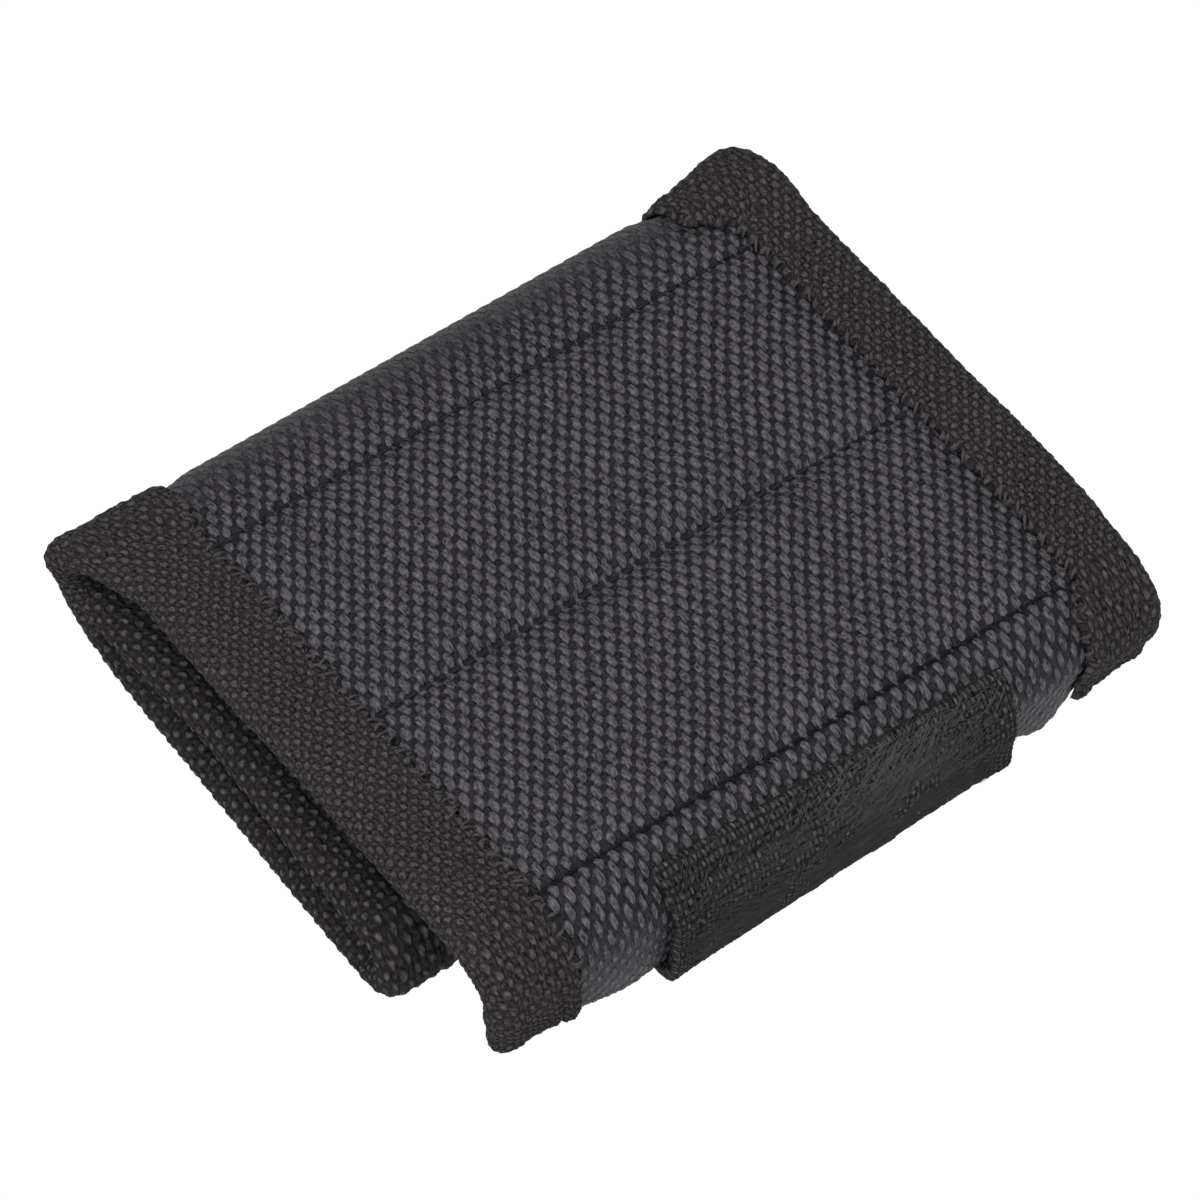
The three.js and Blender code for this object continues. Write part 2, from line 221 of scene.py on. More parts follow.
@dataclass
class Pose:
    """Places on the middle line in the side view: forward, up and heading."""

    forward: np.ndarray
    up: np.ndarray
    heading: np.ndarray

    def straight(self, run: np.ndarray) -> "Pose":
        """Poses after a straight run."""
        forward = self.forward + run * np.cos(self.heading)
        return Pose(forward, self.up + run * np.sin(self.heading), self.heading + 0 * run)

    def arc(self, radius: np.ndarray, run: np.ndarray) -> "Pose":
        """Poses after a run round a clockwise arc.

        Args:
            radius: Radius of the arc.
            run: Length of the way round it.

        Returns:
            The poses.
        """
        turned = self.heading - run / radius
        forward = self.forward + radius * (np.sin(self.heading) - np.sin(turned))
        return Pose(forward, self.up - radius * (np.cos(self.heading) - np.cos(turned)), turned)

    def walk(self, radius: float, run: np.ndarray) -> "Pose":
        """Poses after a straight run, where the radius is 0, or an arc."""
        return self.arc(radius, run) if radius else self.straight(run)


@dataclass(frozen=True)
class Tug:
    """A pull on the soft band that fades out round one place of it, in millimetres.

    The place and the reach are along and across the band, and the move is in the frame's directions.
    """

    place: tuple[float, float]
    reach: tuple[float, float]
    move: tuple[float, float, float]

    def moves(self, s: np.ndarray, x: np.ndarray) -> np.ndarray:
        """Moves of places along and across the band."""
        far = ((s - self.place[0]) / self.reach[0]) ** 2 + ((x - self.place[1]) / self.reach[1]) ** 2
        return np.exp(-far)[:, None] * np.array(self.move)


class BandPath:
    """Middle line of the folded band, from the inner end round nose and back fold to the flap."""

    def __init__(self, sizes: BandSizes) -> None:
        """Lay the straight runs and arcs one after the other.

        Args:
            sizes: Driving dimensions of the band.
        """
        self.sizes = sizes
        inner_slope = math.asin((sizes.nose_space - sizes.end_space) / sizes.inner_length)
        top_length = sizes.spine_lead + 2 * sizes.top_pitch
        top_slope = math.asin(sizes.top_rise / top_length)
        self.runs = (
            (sizes.inner_length, 0.0),
            (sizes.nose_radius * (math.pi + inner_slope), sizes.nose_radius),
            (2 * sizes.base_pitch, 0.0),
            (sizes.fold_radius * (math.pi - top_slope), sizes.fold_radius),
            (top_length, 0.0),
            (sizes.bend_radius * sizes.bend_turn, sizes.bend_radius),
            (sizes.flap_length, 0.0),
        )
        self.starts: list[float] = []
        self.poses: list[Pose] = []
        pose = Pose(np.float64(0), np.float64(0), np.float64(inner_slope))
        at = 0.0
        for length, radius in self.runs:
            self.starts.append(at)
            self.poses.append(pose)
            pose = pose.walk(radius, np.float64(length))
            at += length
        self.length = at
        self.nose, self.base, self.fold, self.top, self.bend, self.flap = self.starts[1:]
        self.nose_middle = (self.nose + self.base) / 2
        self.fold_middle = self.fold + sizes.fold_radius * math.pi / 2
        self.lines = tuple(self.top + sizes.spine_lead + i * sizes.top_pitch for i in range(3))
        self.tab_from = self.bend + sizes.tab_margin
        self.floor = self.poses[2].up - sizes.reach
        back = self.poses[3].forward - sizes.fold_radius - sizes.binding_reach
        self.front_zero = back + CAD_HIGH.y / MM
        self.x_shift = CAD_LOW.x / MM + sizes.half_width + sizes.nose_skew
        self.tugs = self.corner_tugs()

    def corner_tugs(self) -> tuple[Tug, ...]:
        """Find where the rolled-up band is pulled out of shape.

        Returns:
            The pulls at its corners and along the flap's hem.
        """
        edge = self.sizes.half_width
        back_left = (
            Tug((self.fold_middle + 14, -edge), (13.0, 7.5), (0.3, 0.3, -0.8)),  # pinched on top
            Tug((self.fold_middle + 2, -edge), (6.0, 7.0), (-0.6, 1.0, 0.5)),  # pointed at the back
            Tug((self.fold + 6, -edge), (6.0, 7.0), (0.3, 0.0, 1.6)),  # raised off the floor
            Tug((self.fold_middle + 3, 3 - edge), (8.0, 5.0), (0.0, -0.4, -1.4)),  # pressed flat
        )
        inner_end = (Tug((0.0, -edge), (13.0, 9.0), (-1.8, 2.2, 0.0)),)  # reaches out
        right = (
            Tug((self.fold_middle + 4, edge - 3), (8.0, 5.0), (-0.7, 1.1, 0.9)),  # back fold raised
            Tug((self.bend + 3, edge), (9.0, 7.0), (-1.2, 0.5, 0.0)),  # bend drawn in
            Tug((self.length - 3, edge - 3), (6.0, 8.0), (-0.3, 1.0, 0.9)),  # flap curled under
        )
        left = (
            Tug((self.length, 4 - edge), (5.5, 6.5), (0.8, 0.6, 2.8)),  # flap curled up
            Tug((self.nose_middle, 4 - edge), (9.0, 10.0), (0.2, 0.5, 0.3)),  # nose raised
        )
        flap_hem = (
            Tug((self.length, -26.5), (4.0, 4.0), (0.0, 0.0, -1.1)),  # sags left of the tab
            Tug((self.length, 29.5), (4.0, 4.0), (0.0, -0.8, -2.0)),  # sags right of it
            Tug((self.length, 22.0), (5.0, 3.5), (1.0, -0.3, -0.2)),  # tab's corner runs wide
        )
        return back_left + inner_end + right + left + flap_hem

    def pose(self, s: np.ndarray, x: np.ndarray) -> Pose:
        """Poses of the middle line at places along and across the band.

        Args:
            s: Places along the band, in millimetres.
            x: Places across it.

        Returns:
            The poses. The flap turns further under towards its right end.
        """
        out = Pose(np.zeros_like(s), np.zeros_like(s), np.zeros_like(s))
        run = np.clip(np.searchsorted(self.starts[:6], s, side="right") - 1, 0, 5)
        for i in np.unique(run):
            here = run == i
            if i < 5:
                part = self.poses[i].walk(self.runs[i][1], s[here] - self.starts[i])
            else:
                share = (x[here] + self.sizes.half_width) / self.sizes.band_width
                turn = self.sizes.bend_turn + self.sizes.flap_tuck * share
                length = self.runs[5][0]
                part = self.poses[5].arc(length / turn, np.minimum(s[here] - self.bend, length))
                part = part.straight(np.maximum(s[here] - self.flap, 0))
            out.forward[here] = part.forward
            out.up[here] = part.up
            out.heading[here] = part.heading
        return out

    def sideways(self, s: np.ndarray, x: np.ndarray) -> np.ndarray:
        """How far the band runs out to the side: skewed layers, and edges spread at the back fold.

        Args:
            s: Places along the band.
            x: Places across it.

        Returns:
            Distances in millimetres.
        """
        sizes = self.sizes
        knots = (0.0, self.nose_middle, self.fold_middle, self.lines[0], self.length)
        skew = (-sizes.fold_skew, -sizes.nose_skew, -sizes.fold_skew, 0.0, sizes.flap_skew)
        knots_spread = (self.base, self.fold, self.fold_middle, self.top, self.lines[0])
        spread = np.interp(s, knots_spread, (0.0, 0.8, 1.0, 0.7, 0.0)) * sizes.fold_spread
        near = np.clip((np.abs(x) - sizes.half_width) / sizes.spread_width + 1, 0, 1)
        return np.interp(s, knots, skew) + np.sign(x) * spread * near**2

    def points(self, s: np.ndarray, x: np.ndarray, off: np.ndarray) -> np.ndarray:
        """Points of the band in the frame, in metres.

        Args:
            s: Places along the band, in millimetres.
            x: Places across it.
            off: Offsets from its middle line towards the outer face.

        Returns:
            Points, in the shape that the three arrays share and a last axis of 3. What would sink
            into the floor is pressed flat on it.
        """
        shape = np.broadcast_shapes(np.shape(s), np.shape(x), np.shape(off))
        s, x, off = (np.broadcast_to(a, shape).astype(float).ravel() for a in (s, x, off))
        pose = self.pose(s, x)
        forward = pose.forward - off * np.sin(pose.heading)
        up = pose.up + off * np.cos(pose.heading) - self.floor
        across = x + self.sideways(s, x) + self.x_shift
        out = np.stack([across, self.front_zero - forward, up], 1)
        for tug in self.tugs:
            out = out + tug.moves(s, x)
        out[:, 2] = np.maximum(out[:, 2], 0)
        return out.reshape(*shape, 3) * MM

    def point(self, s: float, x: float, off: float) -> Vector:
        """One point of the band in the frame, in metres."""
        return Vector(self.points(np.array([s]), np.array([x]), np.array([off]))[0])


PATH = BandPath(SIZES)


@dataclass(frozen=True)
class Pocket:
    """One padded pocket along the band, with how full it stays on its two seams."""

    low: float
    high: float
    padding: float = 1.0
    low_seam: float = 0.0
    high_seam: float = 0.0

    def fullness(self, s: np.ndarray, rise: float) -> np.ndarray:
        """How full the pocket stands at places along it.

        Args:
            s: Places along the band.
            rise: Length over which the pocket fills from a seam.

        Returns:
            Shares from 0 to 1.
        """
        from_low = np.cos(np.clip((s - self.low) / rise, 0, 1) * math.pi / 2) ** 2
        from_high = np.cos(np.clip((self.high - s) / rise, 0, 1) * math.pi / 2) ** 2
        drop = (self.padding - self.low_seam) * from_low + (self.padding - self.high_seam) * from_high
        return np.maximum(self.padding - drop, 0)


@dataclass(frozen=True)
class Stretch:
    """A stretch of the band that rides on one body, or bends between two.

    The hinge is where such a bend starts and ends, if not at the stretch's own ends.
    """

    name: str
    low: float
    high: float
    bodies: tuple[Body, ...]
    pockets: tuple[Pocket, ...] = ()
    node: str = ""
    hinge: tuple[float, float] | None = None

    @property
    def owner(self) -> str:
        """Name that the frame's nodes of this stretch start with."""
        return self.node or self.name

    @property
    def lines(self) -> tuple[float, ...]:
        """Stitch lines at the pockets' sewn ends."""
        ends = [(p.low, p.low_seam) for p in self.pockets] + [(p.high, p.high_seam) for p in self.pockets]
        return tuple(sorted({at for at, seam in ends if seam > 0}))

    def fullness(
        self, s: np.ndarray, x: np.ndarray, rise: float, edge_rise: float, bound: np.ndarray
    ) -> np.ndarray:
        """How full the padding stands: 0 on the bound edge and 1 in the middle of a full pocket.

        Args:
            s: Places along the band.
            x: Places across it.
            rise: Length over which a pocket fills from a stitch line.
            edge_rise: Length over which it fills from the binding.
            bound: Distances from the middle at which the binding starts.

        Returns:
            Shares from 0 to 1.
        """
        out = np.zeros_like(s)
        for pocket in self.pockets:
            inside = (s >= pocket.low - 1e-6) & (s <= pocket.high + 1e-6)
            out = np.where(inside, pocket.fullness(s, rise), out)
        edge = np.clip((bound - np.abs(x)) / edge_rise, 0, 1)
        return out * np.sin(edge * math.pi / 2)

    def attach(self, piece: bpy.types.Object, offsets: tuple[float, float]) -> None:
        """Put a piece on the stretch's body where it rides on only one; where it bends between two, only
        bake the piece's place into its mesh.

        Args:
            piece: The piece, in place.
            offsets: Lowest and highest offset of the piece from the middle line.
        """
        if len(self.bodies) == 1:
            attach(piece, self.bodies[0].value)
            return
        first, last = self.hinge or (self.low, self.high)
        way = PATH.point(last, 0, 0) - PATH.point(first, 0, 0)
        start = max((PATH.point(first, 0, o) for o in offsets), key=way.dot)
        end = min((PATH.point(last, 0, o) for o in offsets), key=way.dot)
        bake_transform(piece)

    def declare(self, width: float) -> None:
        """Work out a sheet's flat size, unless the stretch is too short for one; the frame is given
        nothing.

        Args:
            width: Its flat width, in millimetres.
        """
        length = (self.high - self.low) * MM
        if length >= SHORTEST_SHEET:
            cover = f"{self.name}_cover_cloth"
            width * MM


SEAM_FILL = 0.5


def two_pockets(low: float, pitch: float, seams: tuple[float, float, float]) -> tuple[Pocket, Pocket]:
    """Two full pockets of one pitch.

    Args:
        low: Place of the first seam along the band.
        pitch: Length of a pocket.
        seams: How full the pockets stay on their three seams.

    Returns:
        The pockets.
    """
    middle = low + pitch
    return (
        Pocket(low, middle, 1.0, seams[0], seams[1]),
        Pocket(middle, middle + pitch, 1.0, seams[1], seams[2]),
    )


def band_stretches() -> tuple[Stretch, ...]:
    """Divide the band into stretches.

    Returns:
        The stretches from the inner end to the flap.
    """
    inner = two_pockets(0.0, SIZES.inner_length / 2, (0.0, SEAM_FILL, 0.0))
    base = two_pockets(PATH.base, SIZES.base_pitch, (0.0, SEAM_FILL, 0.0))
    top = two_pockets(PATH.lines[0], SIZES.top_pitch, (SEAM_FILL, SEAM_FILL, SEAM_FILL))
    spine = (Pocket(PATH.fold, PATH.lines[0], SIZES.spine_padding, 0.0, SEAM_FILL),)
    flap = (Pocket(PATH.bend, PATH.length, SIZES.flap_padding, SEAM_FILL, 0.0),)
    middle = PATH.fold_middle
    return (
        Stretch("inner", 0.0, PATH.nose, (Body.INNER_TURN,), inner),
        Stretch(
            "nose", PATH.nose, PATH.base, (Body.BASE, Body.INNER_TURN), hinge=(PATH.base, PATH.nose)
        ),
        Stretch("base", PATH.base, PATH.fold, (Body.BASE,), base),
        Stretch("spine_lower", PATH.fold, middle, (Body.BASE, Body.SPINE), spine, "spine"),
        Stretch(
            "spine_upper", middle, PATH.lines[0], (Body.SPINE, Body.TOP), spine, "spine", (middle, PATH.top)
        ),
        Stretch("top", PATH.lines[0], PATH.bend, (Body.TOP,), top),
        Stretch(
            "bend", PATH.bend, PATH.flap, (Body.TOP, Body.FLAP), flap, hinge=(PATH.bend, PATH.tab_from)
        ),
        Stretch("flap", PATH.flap, PATH.length, (Body.FLAP,), flap),
    )


class Crumple:
    """Smooth random unevenness, the same on every run."""

    def __init__(self, seed: int, size: int = 64) -> None:
        """Fill a grid with random heights from -1 to 1."""
        self.grid = np.random.default_rng(seed).uniform(-1, 1, (size, size))

    def at(self, u: np.ndarray, v: np.ndarray) -> np.ndarray:
        """Heights at places on the grid.

        Args:
            u: Places along the grid's rows.
            v: Places along its columns.

        Returns:
            Heights from -1 to 1.
        """
        size = len(self.grid)
        i = np.floor(u).astype(int)
        j = np.floor(v).astype(int)
        a = u - i
        b = v - j
        a = a * a * (3 - 2 * a)
        b = b * b * (3 - 2 * b)
        i, j, k, m = i % size, j % size, (i + 1) % size, (j + 1) % size
        low = self.grid[i, j] * (1 - a) + self.grid[k, j] * a
        high = self.grid[i, m] * (1 - a) + self.grid[k, m] * a
        return low * (1 - b) + high * b


SLOW_CRUMPLE = Crumple(3)
FINE_CRUMPLE = Crumple(11)
# Sizes of the unevenness in the yarns' run, in millimetres.
STRAY_SIZE = 14.0
FUZZ_SIZE = 1.7


def yarn_places(x: np.ndarray, s: np.ndarray, stray: float, fuzz: float) -> Places:
    """Places on the cloth whose yarns run out of line.

    Args:
        x: Places across the cloth, in millimetres.
        s: Places along it.
        stray: How far whole yarns stray.
        fuzz: How far single floats do.

    Returns:
        Places on a cloth with straight yarns.
    """
    slow = (s / STRAY_SIZE, x / STRAY_SIZE)
    fine = (s / FUZZ_SIZE, x / FUZZ_SIZE)
    across, along = (stray * c.at(*slow) + fuzz * c.at(*fine) for c in (SLOW_CRUMPLE, FINE_CRUMPLE))
    return x + across, s + along


def groove(distance: np.ndarray, half_width: float) -> np.ndarray:
    """Share of a narrow groove's depth at a distance from its middle."""
    return np.cos(np.clip(np.abs(distance) / half_width, 0, 1) * math.pi / 2) ** 2


def rounding(distance: np.ndarray, radius: float) -> np.ndarray:
    """How far a rounded edge drops at a distance from it."""
    short = 1 - np.clip(distance / radius, 0, 1)
    return radius * (1 - np.sqrt(np.clip(1 - short**2, 0, 1)))


class Value:
    """Number in a material's node tree, which takes part in sums like a plain number."""

    def __init__(self, bench: "Bench", socket: bpy.types.NodeSocket) -> None:
        """Wrap an output of a bench's node tree."""
        self.bench = bench
        self.socket = socket

    def __add__(self, other: object) -> "Value":
        """Sum with another value or a number."""
        return self.bench.math("ADD", self, other)

    def __sub__(self, other: object) -> "Value":
        """Difference from another value or a number."""
        return self.bench.math("SUBTRACT", self, other)

    def __rsub__(self, other: float) -> "Value":
        """Difference of a number from the value."""
        return self.bench.math("SUBTRACT", other, self)

    def __mul__(self, other: object) -> "Value":
        """Product with another value or a number."""
        return self.bench.math("MULTIPLY", self, other)

    def __pow__(self, power: float) -> "Value":
        """Power of the value."""
        return self.bench.math("POWER", self, power)

    def cos(self) -> "Value":
        """Cosine of the value."""
        return self.bench.math("COSINE", self)

    __radd__ = __add__
    __rmul__ = __mul__


class Bench:
    """Short hand for one material's node tree."""

    def __init__(self, name: str, roughness: float, specular: float) -> None:
        """Start a material on a principled shader.

        Args:
            name: Name of the material.
            roughness: Roughness of the whole surface.
            specular: Level of its gloss.
        """
        self.material = bpy.data.materials.new(name)
        self.material.use_nodes = True
        self.tree = self.material.node_tree
        self.shader = self.tree.nodes["Principled BSDF"]
        self.shader.inputs["Roughness"].default_value = roughness
        self.shader.inputs["Specular IOR Level"].default_value = specular

    def add(self, kind: str, **values: object) -> bpy.types.Node:
        """Add a node and set its properties.

        Args:
            kind: Type of the node.
            **values: Its properties.

        Returns:
            The node.
        """
        node = self.tree.nodes.new(kind)
        for key, value in values.items():
            setattr(node, key, value)
        return node

    def link(self, source: object, socket: bpy.types.NodeSocket) -> None:
        """Feed a socket from a value, or set it to a constant.

        Args:
            source: The value or the constant.
            socket: The socket.
        """
        if isinstance(source, Value):
            self.tree.links.new(source.socket, socket)
        else:
            socket.default_value = source

    def math(self, operation: str, *values: object) -> Value:
        """Result of a math node on values or numbers.

        Args:
            operation: The node's operation.
            *values: The values or numbers.

        Returns:
            The result.
        """
        node = self.add("ShaderNodeMath", operation=operation)
        for value, socket in zip(values, node.inputs):
            self.link(value, socket)
        return Value(self, node.outputs[0])

    def smooth(self, value: Value, low: float, high: float) -> Value:
        """Smooth step of a value between two numbers.

        Args:
            value: The value.
            low: Number up to which the step is 0.
            high: Number from which it is 1.

        Returns:
            The step.
        """
        node = self.add("ShaderNodeMapRange", interpolation_type="SMOOTHSTEP")
        self.link(value, node.inputs["Value"])
        node.inputs["From Min"].default_value = low
        node.inputs["From Max"].default_value = high
        return Value(self, node.outputs[0])

    def mix(self, factor: Value, first: object, second: object) -> Value:
        """Colour between two colours.

        Args:
            factor: Share of the second colour.
            first: The first colour.
            second: The second colour.

        Returns:
            The colour.
        """
        node = self.add("ShaderNodeMix", data_type="RGBA")
        self.link(factor, node.inputs[0])
        self.link(first, node.inputs[6])
        self.link(second, node.inputs[7])
        return Value(self, node.outputs[2])

    def cloth(self) -> Value:
        """Place on the cloth, as the mesh has it."""
        return Value(self, self.add("ShaderNodeUVMap", uv_map="cloth").outputs[0])

    def cloth_place(self) -> list[Value]:
        """Place on the cloth in millimetres.

        Returns:
            Places across and along the cloth.
        """
        split = self.add("ShaderNodeSeparateXYZ")
        self.link(self.cloth(), split.inputs[0])
        return [Value(self, split.outputs[i]) * UV_MM for i in range(2)]

    def noise(self, scale: float, detail: float, stretch: tuple[float, float] = (1, 1)) -> Value:
        """Noise on the cloth.

        Args:
            scale: Cells of the noise per 100 mm.
            detail: Octaves of the noise.
            stretch: Shares of the scale across and along the cloth.

        Returns:
            The noise, from 0 to 1.
        """
        place = self.add("ShaderNodeMapping")
        self.link(self.cloth(), place.inputs["Vector"])
        place.inputs["Scale"].default_value = (stretch[0], stretch[1], 1)
        node = self.add("ShaderNodeTexNoise")
        self.link(Value(self, place.outputs[0]), node.inputs["Vector"])
        node.inputs["Scale"].default_value = scale
        node.inputs["Detail"].default_value = detail
        return Value(self, node.outputs[0])

    def bump(self, height: Value, distance: float) -> None:
        """Raise the surface in its shading.

        Args:
            height: The height.
            distance: How far a height of 1 rises, in metres.
        """
        node = self.add("ShaderNodeBump")
        node.inputs["Distance"].default_value = distance
        self.link(height, node.inputs["Height"])
        self.link(Value(self, node.outputs[0]), self.shader.inputs["Normal"])

    def colour(self, colour: object) -> None:
        """Set the base colour."""
        self.link(colour, self.shader.inputs["Base Color"])


@dataclass(frozen=True)
class Pull:
    """Where a cloth is pulled taut: its floats draw in, and the weft between them opens to the light, so
    the gaps and the yarns below take another colour in place of the weave's painted shade.

    Attributes:
        zone: Places along the cloth where the pull starts, is full, is still full and has ended.
        tightness: How far the floats draw in.
        weft: Colour that the gaps and the yarns below take: lighter than the painted shade where the opened
            weft catches the light, darker where it paints a deeper shade.
        veil: How far the floats take that colour.
        flat: Share of the relief that is lost.
    """

    zone: tuple[float, float, float, float]
    tightness: float
    weft: Colour
    veil: float = 0.0
    flat: float = 0.0

    def share(self, s: np.ndarray) -> np.ndarray:
        """How taut the cloth is at places along it, from 0 to 1."""
        return np.interp(s, self.zone, (0.0, 1.0, 1.0, 0.0))

    def shade(self, bench: Bench, s: Value) -> Value:
        """The same in a material."""
        return bench.smooth(s, *self.zone[:2]) * (1.0 - bench.smooth(s, *self.zone[2:]))


# Looks that all the weaves share.
FIBRE_SCALE = 420.0
FIBRE_STRETCH = 0.4
BLOTCH_SCALE = 9.0
BLOTCH = 0.4
WEFT_FILL = (0.08, 0.6)
# Share of a float's colour left at its edges: painted shade on the rounded floats.
FLOAT_EDGE_SHADE = 0.7
FLOAT_ROUND = 0.7
STRAND_RISE = 0.5
BUMP_SHARE = 0.6


def darker(colour: Colour, share: float) -> Colour:
    """A share of a colour's light."""
    return tuple(share * c for c in colour[:3]) + (1.0,)


@dataclass(frozen=True)
class Weave:
    """Cloth of staggered floats: the weave's relief and its look, with painted shade in the gaps and on the
    floats' edges.

    Attributes:
        name: Name of the material.
        across: Pitch of the floats across the cloth, in millimetres.
        along: Their pitch along it.
        relief: Depth of the gaps between them.
        gap_shade: Colour in the gaps between the floats, painted shade.
        weft: Colour of the yarns below the floats, darker than the floats as painted shade.
        warp: Colour of the floats.
        roughness: Roughness of the cloth.
        specular: Level of its gloss.
        fibre: Strength of the fine fibres' shade.
        fleck: Strength of the flecks' shade.
        weft_height: Height of the yarns below, as a share of the floats'.
        lean: Weight of a float's sides against its ends.
        overlap: How far each float lies over the next.
        curve: How far its ends bow.
        slant: How far its ends slant.
        sharp: How square it is.
        fill: Heights between which the floats' colour sets in.
        fleck_scale: Flecks per 100 mm.
        pulls: Where the cloth is pulled taut.
    """

    name: str
    across: float
    along: float
    relief: float
    gap_shade: Colour
    weft: Colour
    warp: Colour
    roughness: float
    specular: float
    fibre: float
    fleck: float
    weft_height: float = 0.6
    lean: float = 0.5
    overlap: float = 0.0
    curve: float = 0.0
    slant: float = 0.0
    sharp: float = 1.0
    fill: tuple[float, float] = WEFT_FILL
    fleck_scale: float = 75.0
    pulls: tuple[Pull, ...] = ()

    def wave(self, x: np.ndarray | Value, s: np.ndarray | Value) -> np.ndarray | Value:
        """How clearly a float of the warp lies on top.

        Args:
            x: Places across the cloth, in millimetres.
            s: Places along it.

        Returns:
            Shares from -1, in the gaps between the floats, to 1, on their middles.
        """
        across = x * (2 * math.pi / self.across)
        along = s * (2 * math.pi / self.along)
        side = 0.5 - 0.5 * np.cos(across + along)
        lobe = across - along - self.curve * side + self.slant * np.cos(across + along - math.pi / 2)
        end = 0.5 - 0.5 * np.cos(lobe + self.overlap * np.cos(lobe))
        return 1.0 - 2 * (self.lean * side**self.sharp + (1 - self.lean) * end**self.sharp)

    def height(self, x: np.ndarray, s: np.ndarray) -> np.ndarray:
        """Relief of the floats below the cloth's outside.

        Args:
            x: Places across the cloth.
            s: Places along it.

        Returns:
            Heights from -relief to 0, in millimetres.
        """
        wave = self.wave(x, s)
        share = np.abs(wave) ** FLOAT_ROUND * np.where(wave > 0, 1.0, self.weft_height)
        taut = sum((pull.flat * pull.share(s) for pull in self.pulls), 0 * s)
        return self.relief * (1 - taut) * (share - 1.0)

    def material(self) -> bpy.types.Material:
        """Build the cloth's material.

        Returns:
            The material.
        """
        bench = Bench(self.name, self.roughness, self.specular)
        x, s = bench.cloth_place()
        wave = self.wave(x, s)
        # Painted shade: the floats darken towards their edges, and the gaps and the yarns below take darker
        # colours than the floats.
        floats = bench.mix(bench.smooth(wave, 0.0, 0.9), darker(self.warp, FLOAT_EDGE_SHADE), self.warp)
        between = self.gap_shade
        under = self.weft
        for pull in self.pulls:
            taut = pull.shade(bench, s)
            wave = wave - taut * pull.tightness
            opened = taut * taut * taut
            between = bench.mix(opened, between, pull.weft)
            under = bench.mix(opened, under, pull.weft)
            floats = bench.mix(taut * pull.veil, floats, pull.weft)
        warp = bench.smooth(wave, *self.fill)
        weft = bench.smooth(wave * -1.0, *WEFT_FILL)
        colour = bench.mix(warp, bench.mix(weft, between, under), floats)
        ways = ((1.0, FIBRE_STRETCH), (FIBRE_STRETCH, 1.0))
        warp_fibre, weft_fibre = (bench.noise(FIBRE_SCALE, 3.0, way) for way in ways)
        shade = bench.noise(BLOTCH_SCALE, 3.0) * BLOTCH
        shade = shade + bench.noise(self.fleck_scale, 2.0) * self.fleck + warp_fibre * self.fibre
        shade = shade + (1 - (BLOTCH + self.fleck + self.fibre) / 2)
        value = bench.add("ShaderNodeHueSaturation")
        bench.link(colour, value.inputs["Color"])
        bench.link(shade, value.inputs["Value"])
        bench.colour(Value(bench, value.outputs[0]))
        strands = warp * warp_fibre + weft * weft_fibre
        bench.bump(warp + weft * self.weft_height + strands * STRAND_RISE, self.relief * MM * BUMP_SHARE)
        return bench.material


BACK_PULL = Pull(
    zone=(PATH.fold - 4, PATH.fold, PATH.fold_middle + 6, PATH.lines[0] - 0.5),
    tightness=0.1,
    weft=(0.043, 0.039, 0.0445, 1),
    veil=0.7,
    flat=0.65,
)
# The flap's cloth, taut round the bend: its gaps and yarns below turn paler, partly the opened weft and
# partly painted light from the floor under the flap.
FLAP_PULL_AND_LIGHT = Pull(
    zone=(PATH.bend - 1, PATH.flap + 3, PATH.length + 20, PATH.length + 21),
    tightness=0.62,
    weft=(0.045, 0.0405, 0.05, 1),
    flat=0.6,
)
# Along the stitch lines the floats draw in and the gaps and yarns below turn near black: painted shade in
# the seams' grooves.
SEAM_PULLS_AND_SHADE = tuple(
    Pull((line - 0.5, line - 0.1, line + 0.1, line + 0.5), 0.8, (0.0095, 0.0085, 0.0107, 1))
    for line in PATH.lines
)
BASKET = Weave(
    "basket_cloth",
    across=1.92,
    along=2.66,
    relief=0.34,
    gap_shade=(0.0105, 0.0094, 0.0118, 1),
    weft=(0.016, 0.0144, 0.018, 1),
    warp=(0.092, 0.083, 0.099, 1),
    roughness=0.6,
    specular=0.25,
    fibre=4.5,
    fleck=1.4,
    weft_height=0.15,
    lean=0.52,
    overlap=0.3,
    curve=0.3,
    slant=0.55,
    sharp=2.2,
    fill=(-0.35, 0.35),
    pulls=(BACK_PULL, FLAP_PULL_AND_LIGHT, *SEAM_PULLS_AND_SHADE),
)
TAPE = Weave(
    "binding_tape",
    across=1.45,
    along=1.9,
    relief=0.24,
    gap_shade=(0.024, 0.0211, 0.022, 1),
    weft=(0.043, 0.0378, 0.0395, 1),
    warp=(0.067, 0.0589, 0.0616, 1),
    roughness=0.85,
    specular=0.15,
    fibre=3.0,
    fleck=3.0,
    weft_height=0.8,
    lean=0.52,
    overlap=0.3,
    sharp=1.5,
    fill=(-0.1, 0.6),
    fleck_scale=260.0,
)
